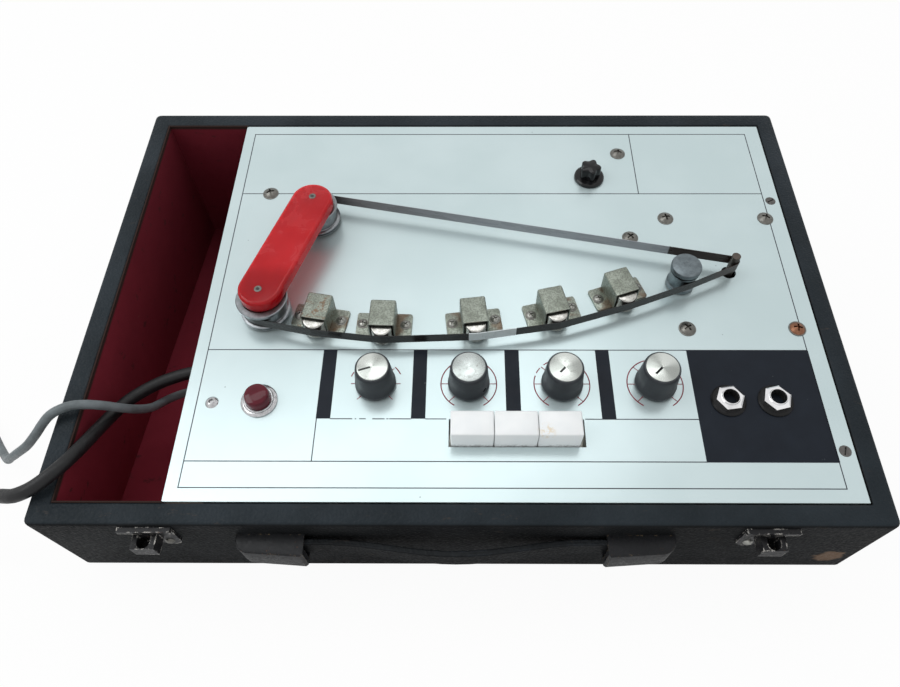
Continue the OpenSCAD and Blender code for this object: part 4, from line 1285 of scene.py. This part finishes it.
covered_case()
handle()
keepers()
dress("rubber_feet", 0.8, 3, 35)
panel_screws()
case_fixings()
panel_print()
dial_rings()
knobs()
echo_keys()
lamp()
fuse()
jacks()
bridge()
pulley("rear_pulley", REAR_PULLEY, 12.9)
pulley("front_pulley", FRONT_PULLEY, 13.8)
guide_roller()
heads()
splice_patch()
sleeves()

for node in nodes:
    if node not in DRESSED:
        item = nodes[node]
        item.data.materials.clear()
        item.data.materials.append(FINISHES[SLOT_OF[node]])

# ---- light and floor

# How white the floor and the world look, and how strongly the world lights the unit
FLOOR_SIZE, FLOOR_DROP, FLOOR_WHITE = 6, 0.0002, 0.95
WORLD_LIGHT, WORLD_WHITE = 0.6, 1.0


def flat_light(name, place, aim, size, power, color):
    data = bpy.data.lights.new(name, "AREA")
    data.shape = "RECTANGLE"
    data.size, data.size_y = size
    data.energy = power
    data.color = color
    light = placed_object(name, data)
    light.location = place
    light.rotation_euler = (Vector(aim) - Vector(place)).to_track_quat("-Z", "Y").to_euler()


def pale_floor():
    """A plain floor that is nearly white to the camera."""
    floor = bmesh.new()
    place = moved(0, 0, -FLOOR_DROP)
    bmesh.ops.create_grid(floor, x_segments=1, y_segments=1, size=FLOOR_SIZE, matrix=place)
    data = bpy.data.meshes.new("floor")
    floor.to_mesh(data)
    floor.free()
    f = Finish("pale_floor", 0.9)
    f.color((0.9, 0.9, 0.9, 1))
    shown = f.tree.nodes["Material Output"].inputs["Surface"]
    rays = f.node("LightPath")
    seen = f.times(rays.outputs["Is Camera Ray"], FLOOR_WHITE)
    white = f.node("Emission", Color=(1, 1, 1, 1), Strength=1.0)
    blend = f.node("MixShader", Fac=seen)
    f.join(f.shader.outputs[0], blend.inputs[1])
    f.join(white.outputs[0], blend.inputs[2])
    f.join(blend.outputs[0], shown)
    data.materials.append(f.material)
    placed_object("floor", data)


def studio_world():
    """A white world, fainter as a light than it looks."""
    world = bpy.data.worlds.new("studio")
    world.use_nodes = True
    tree = world.node_tree
    back = tree.nodes["Background"]
    back.inputs["Color"].default_value = (1, 1, 1, 1)
    rays = tree.nodes.new("ShaderNodeLightPath")
    seen = tree.nodes.new("ShaderNodeMath")
    seen.operation = "MAXIMUM"
    tree.links.new(rays.outputs["Is Camera Ray"], seen.inputs[0])
    tree.links.new(rays.outputs["Is Glossy Ray"], seen.inputs[1])
    level = tree.nodes.new("ShaderNodeMapRange")
    tree.links.new(seen.outputs[0], level.inputs["Value"])
    level.inputs["To Min"].default_value = WORLD_LIGHT
    level.inputs["To Max"].default_value = WORLD_WHITE
    tree.links.new(level.outputs[0], back.inputs["Strength"])
    scene.world = world


def studio():
    pale_floor()
    studio_world()
    flat_light("overhead", (-0.12, 0.2, 1.3), (-0.02, 0, 0.08), (1.0, 0.5), 2.5, (0.97, 0.995, 1.0))
    flat_light("window_left", (-1.0, -0.15, 1.25), (0, 0, 0.05), (1.0, 0.8), 7, (0.96, 0.99, 1.0))


studio()
scene.view_settings.view_transform = "Standard"
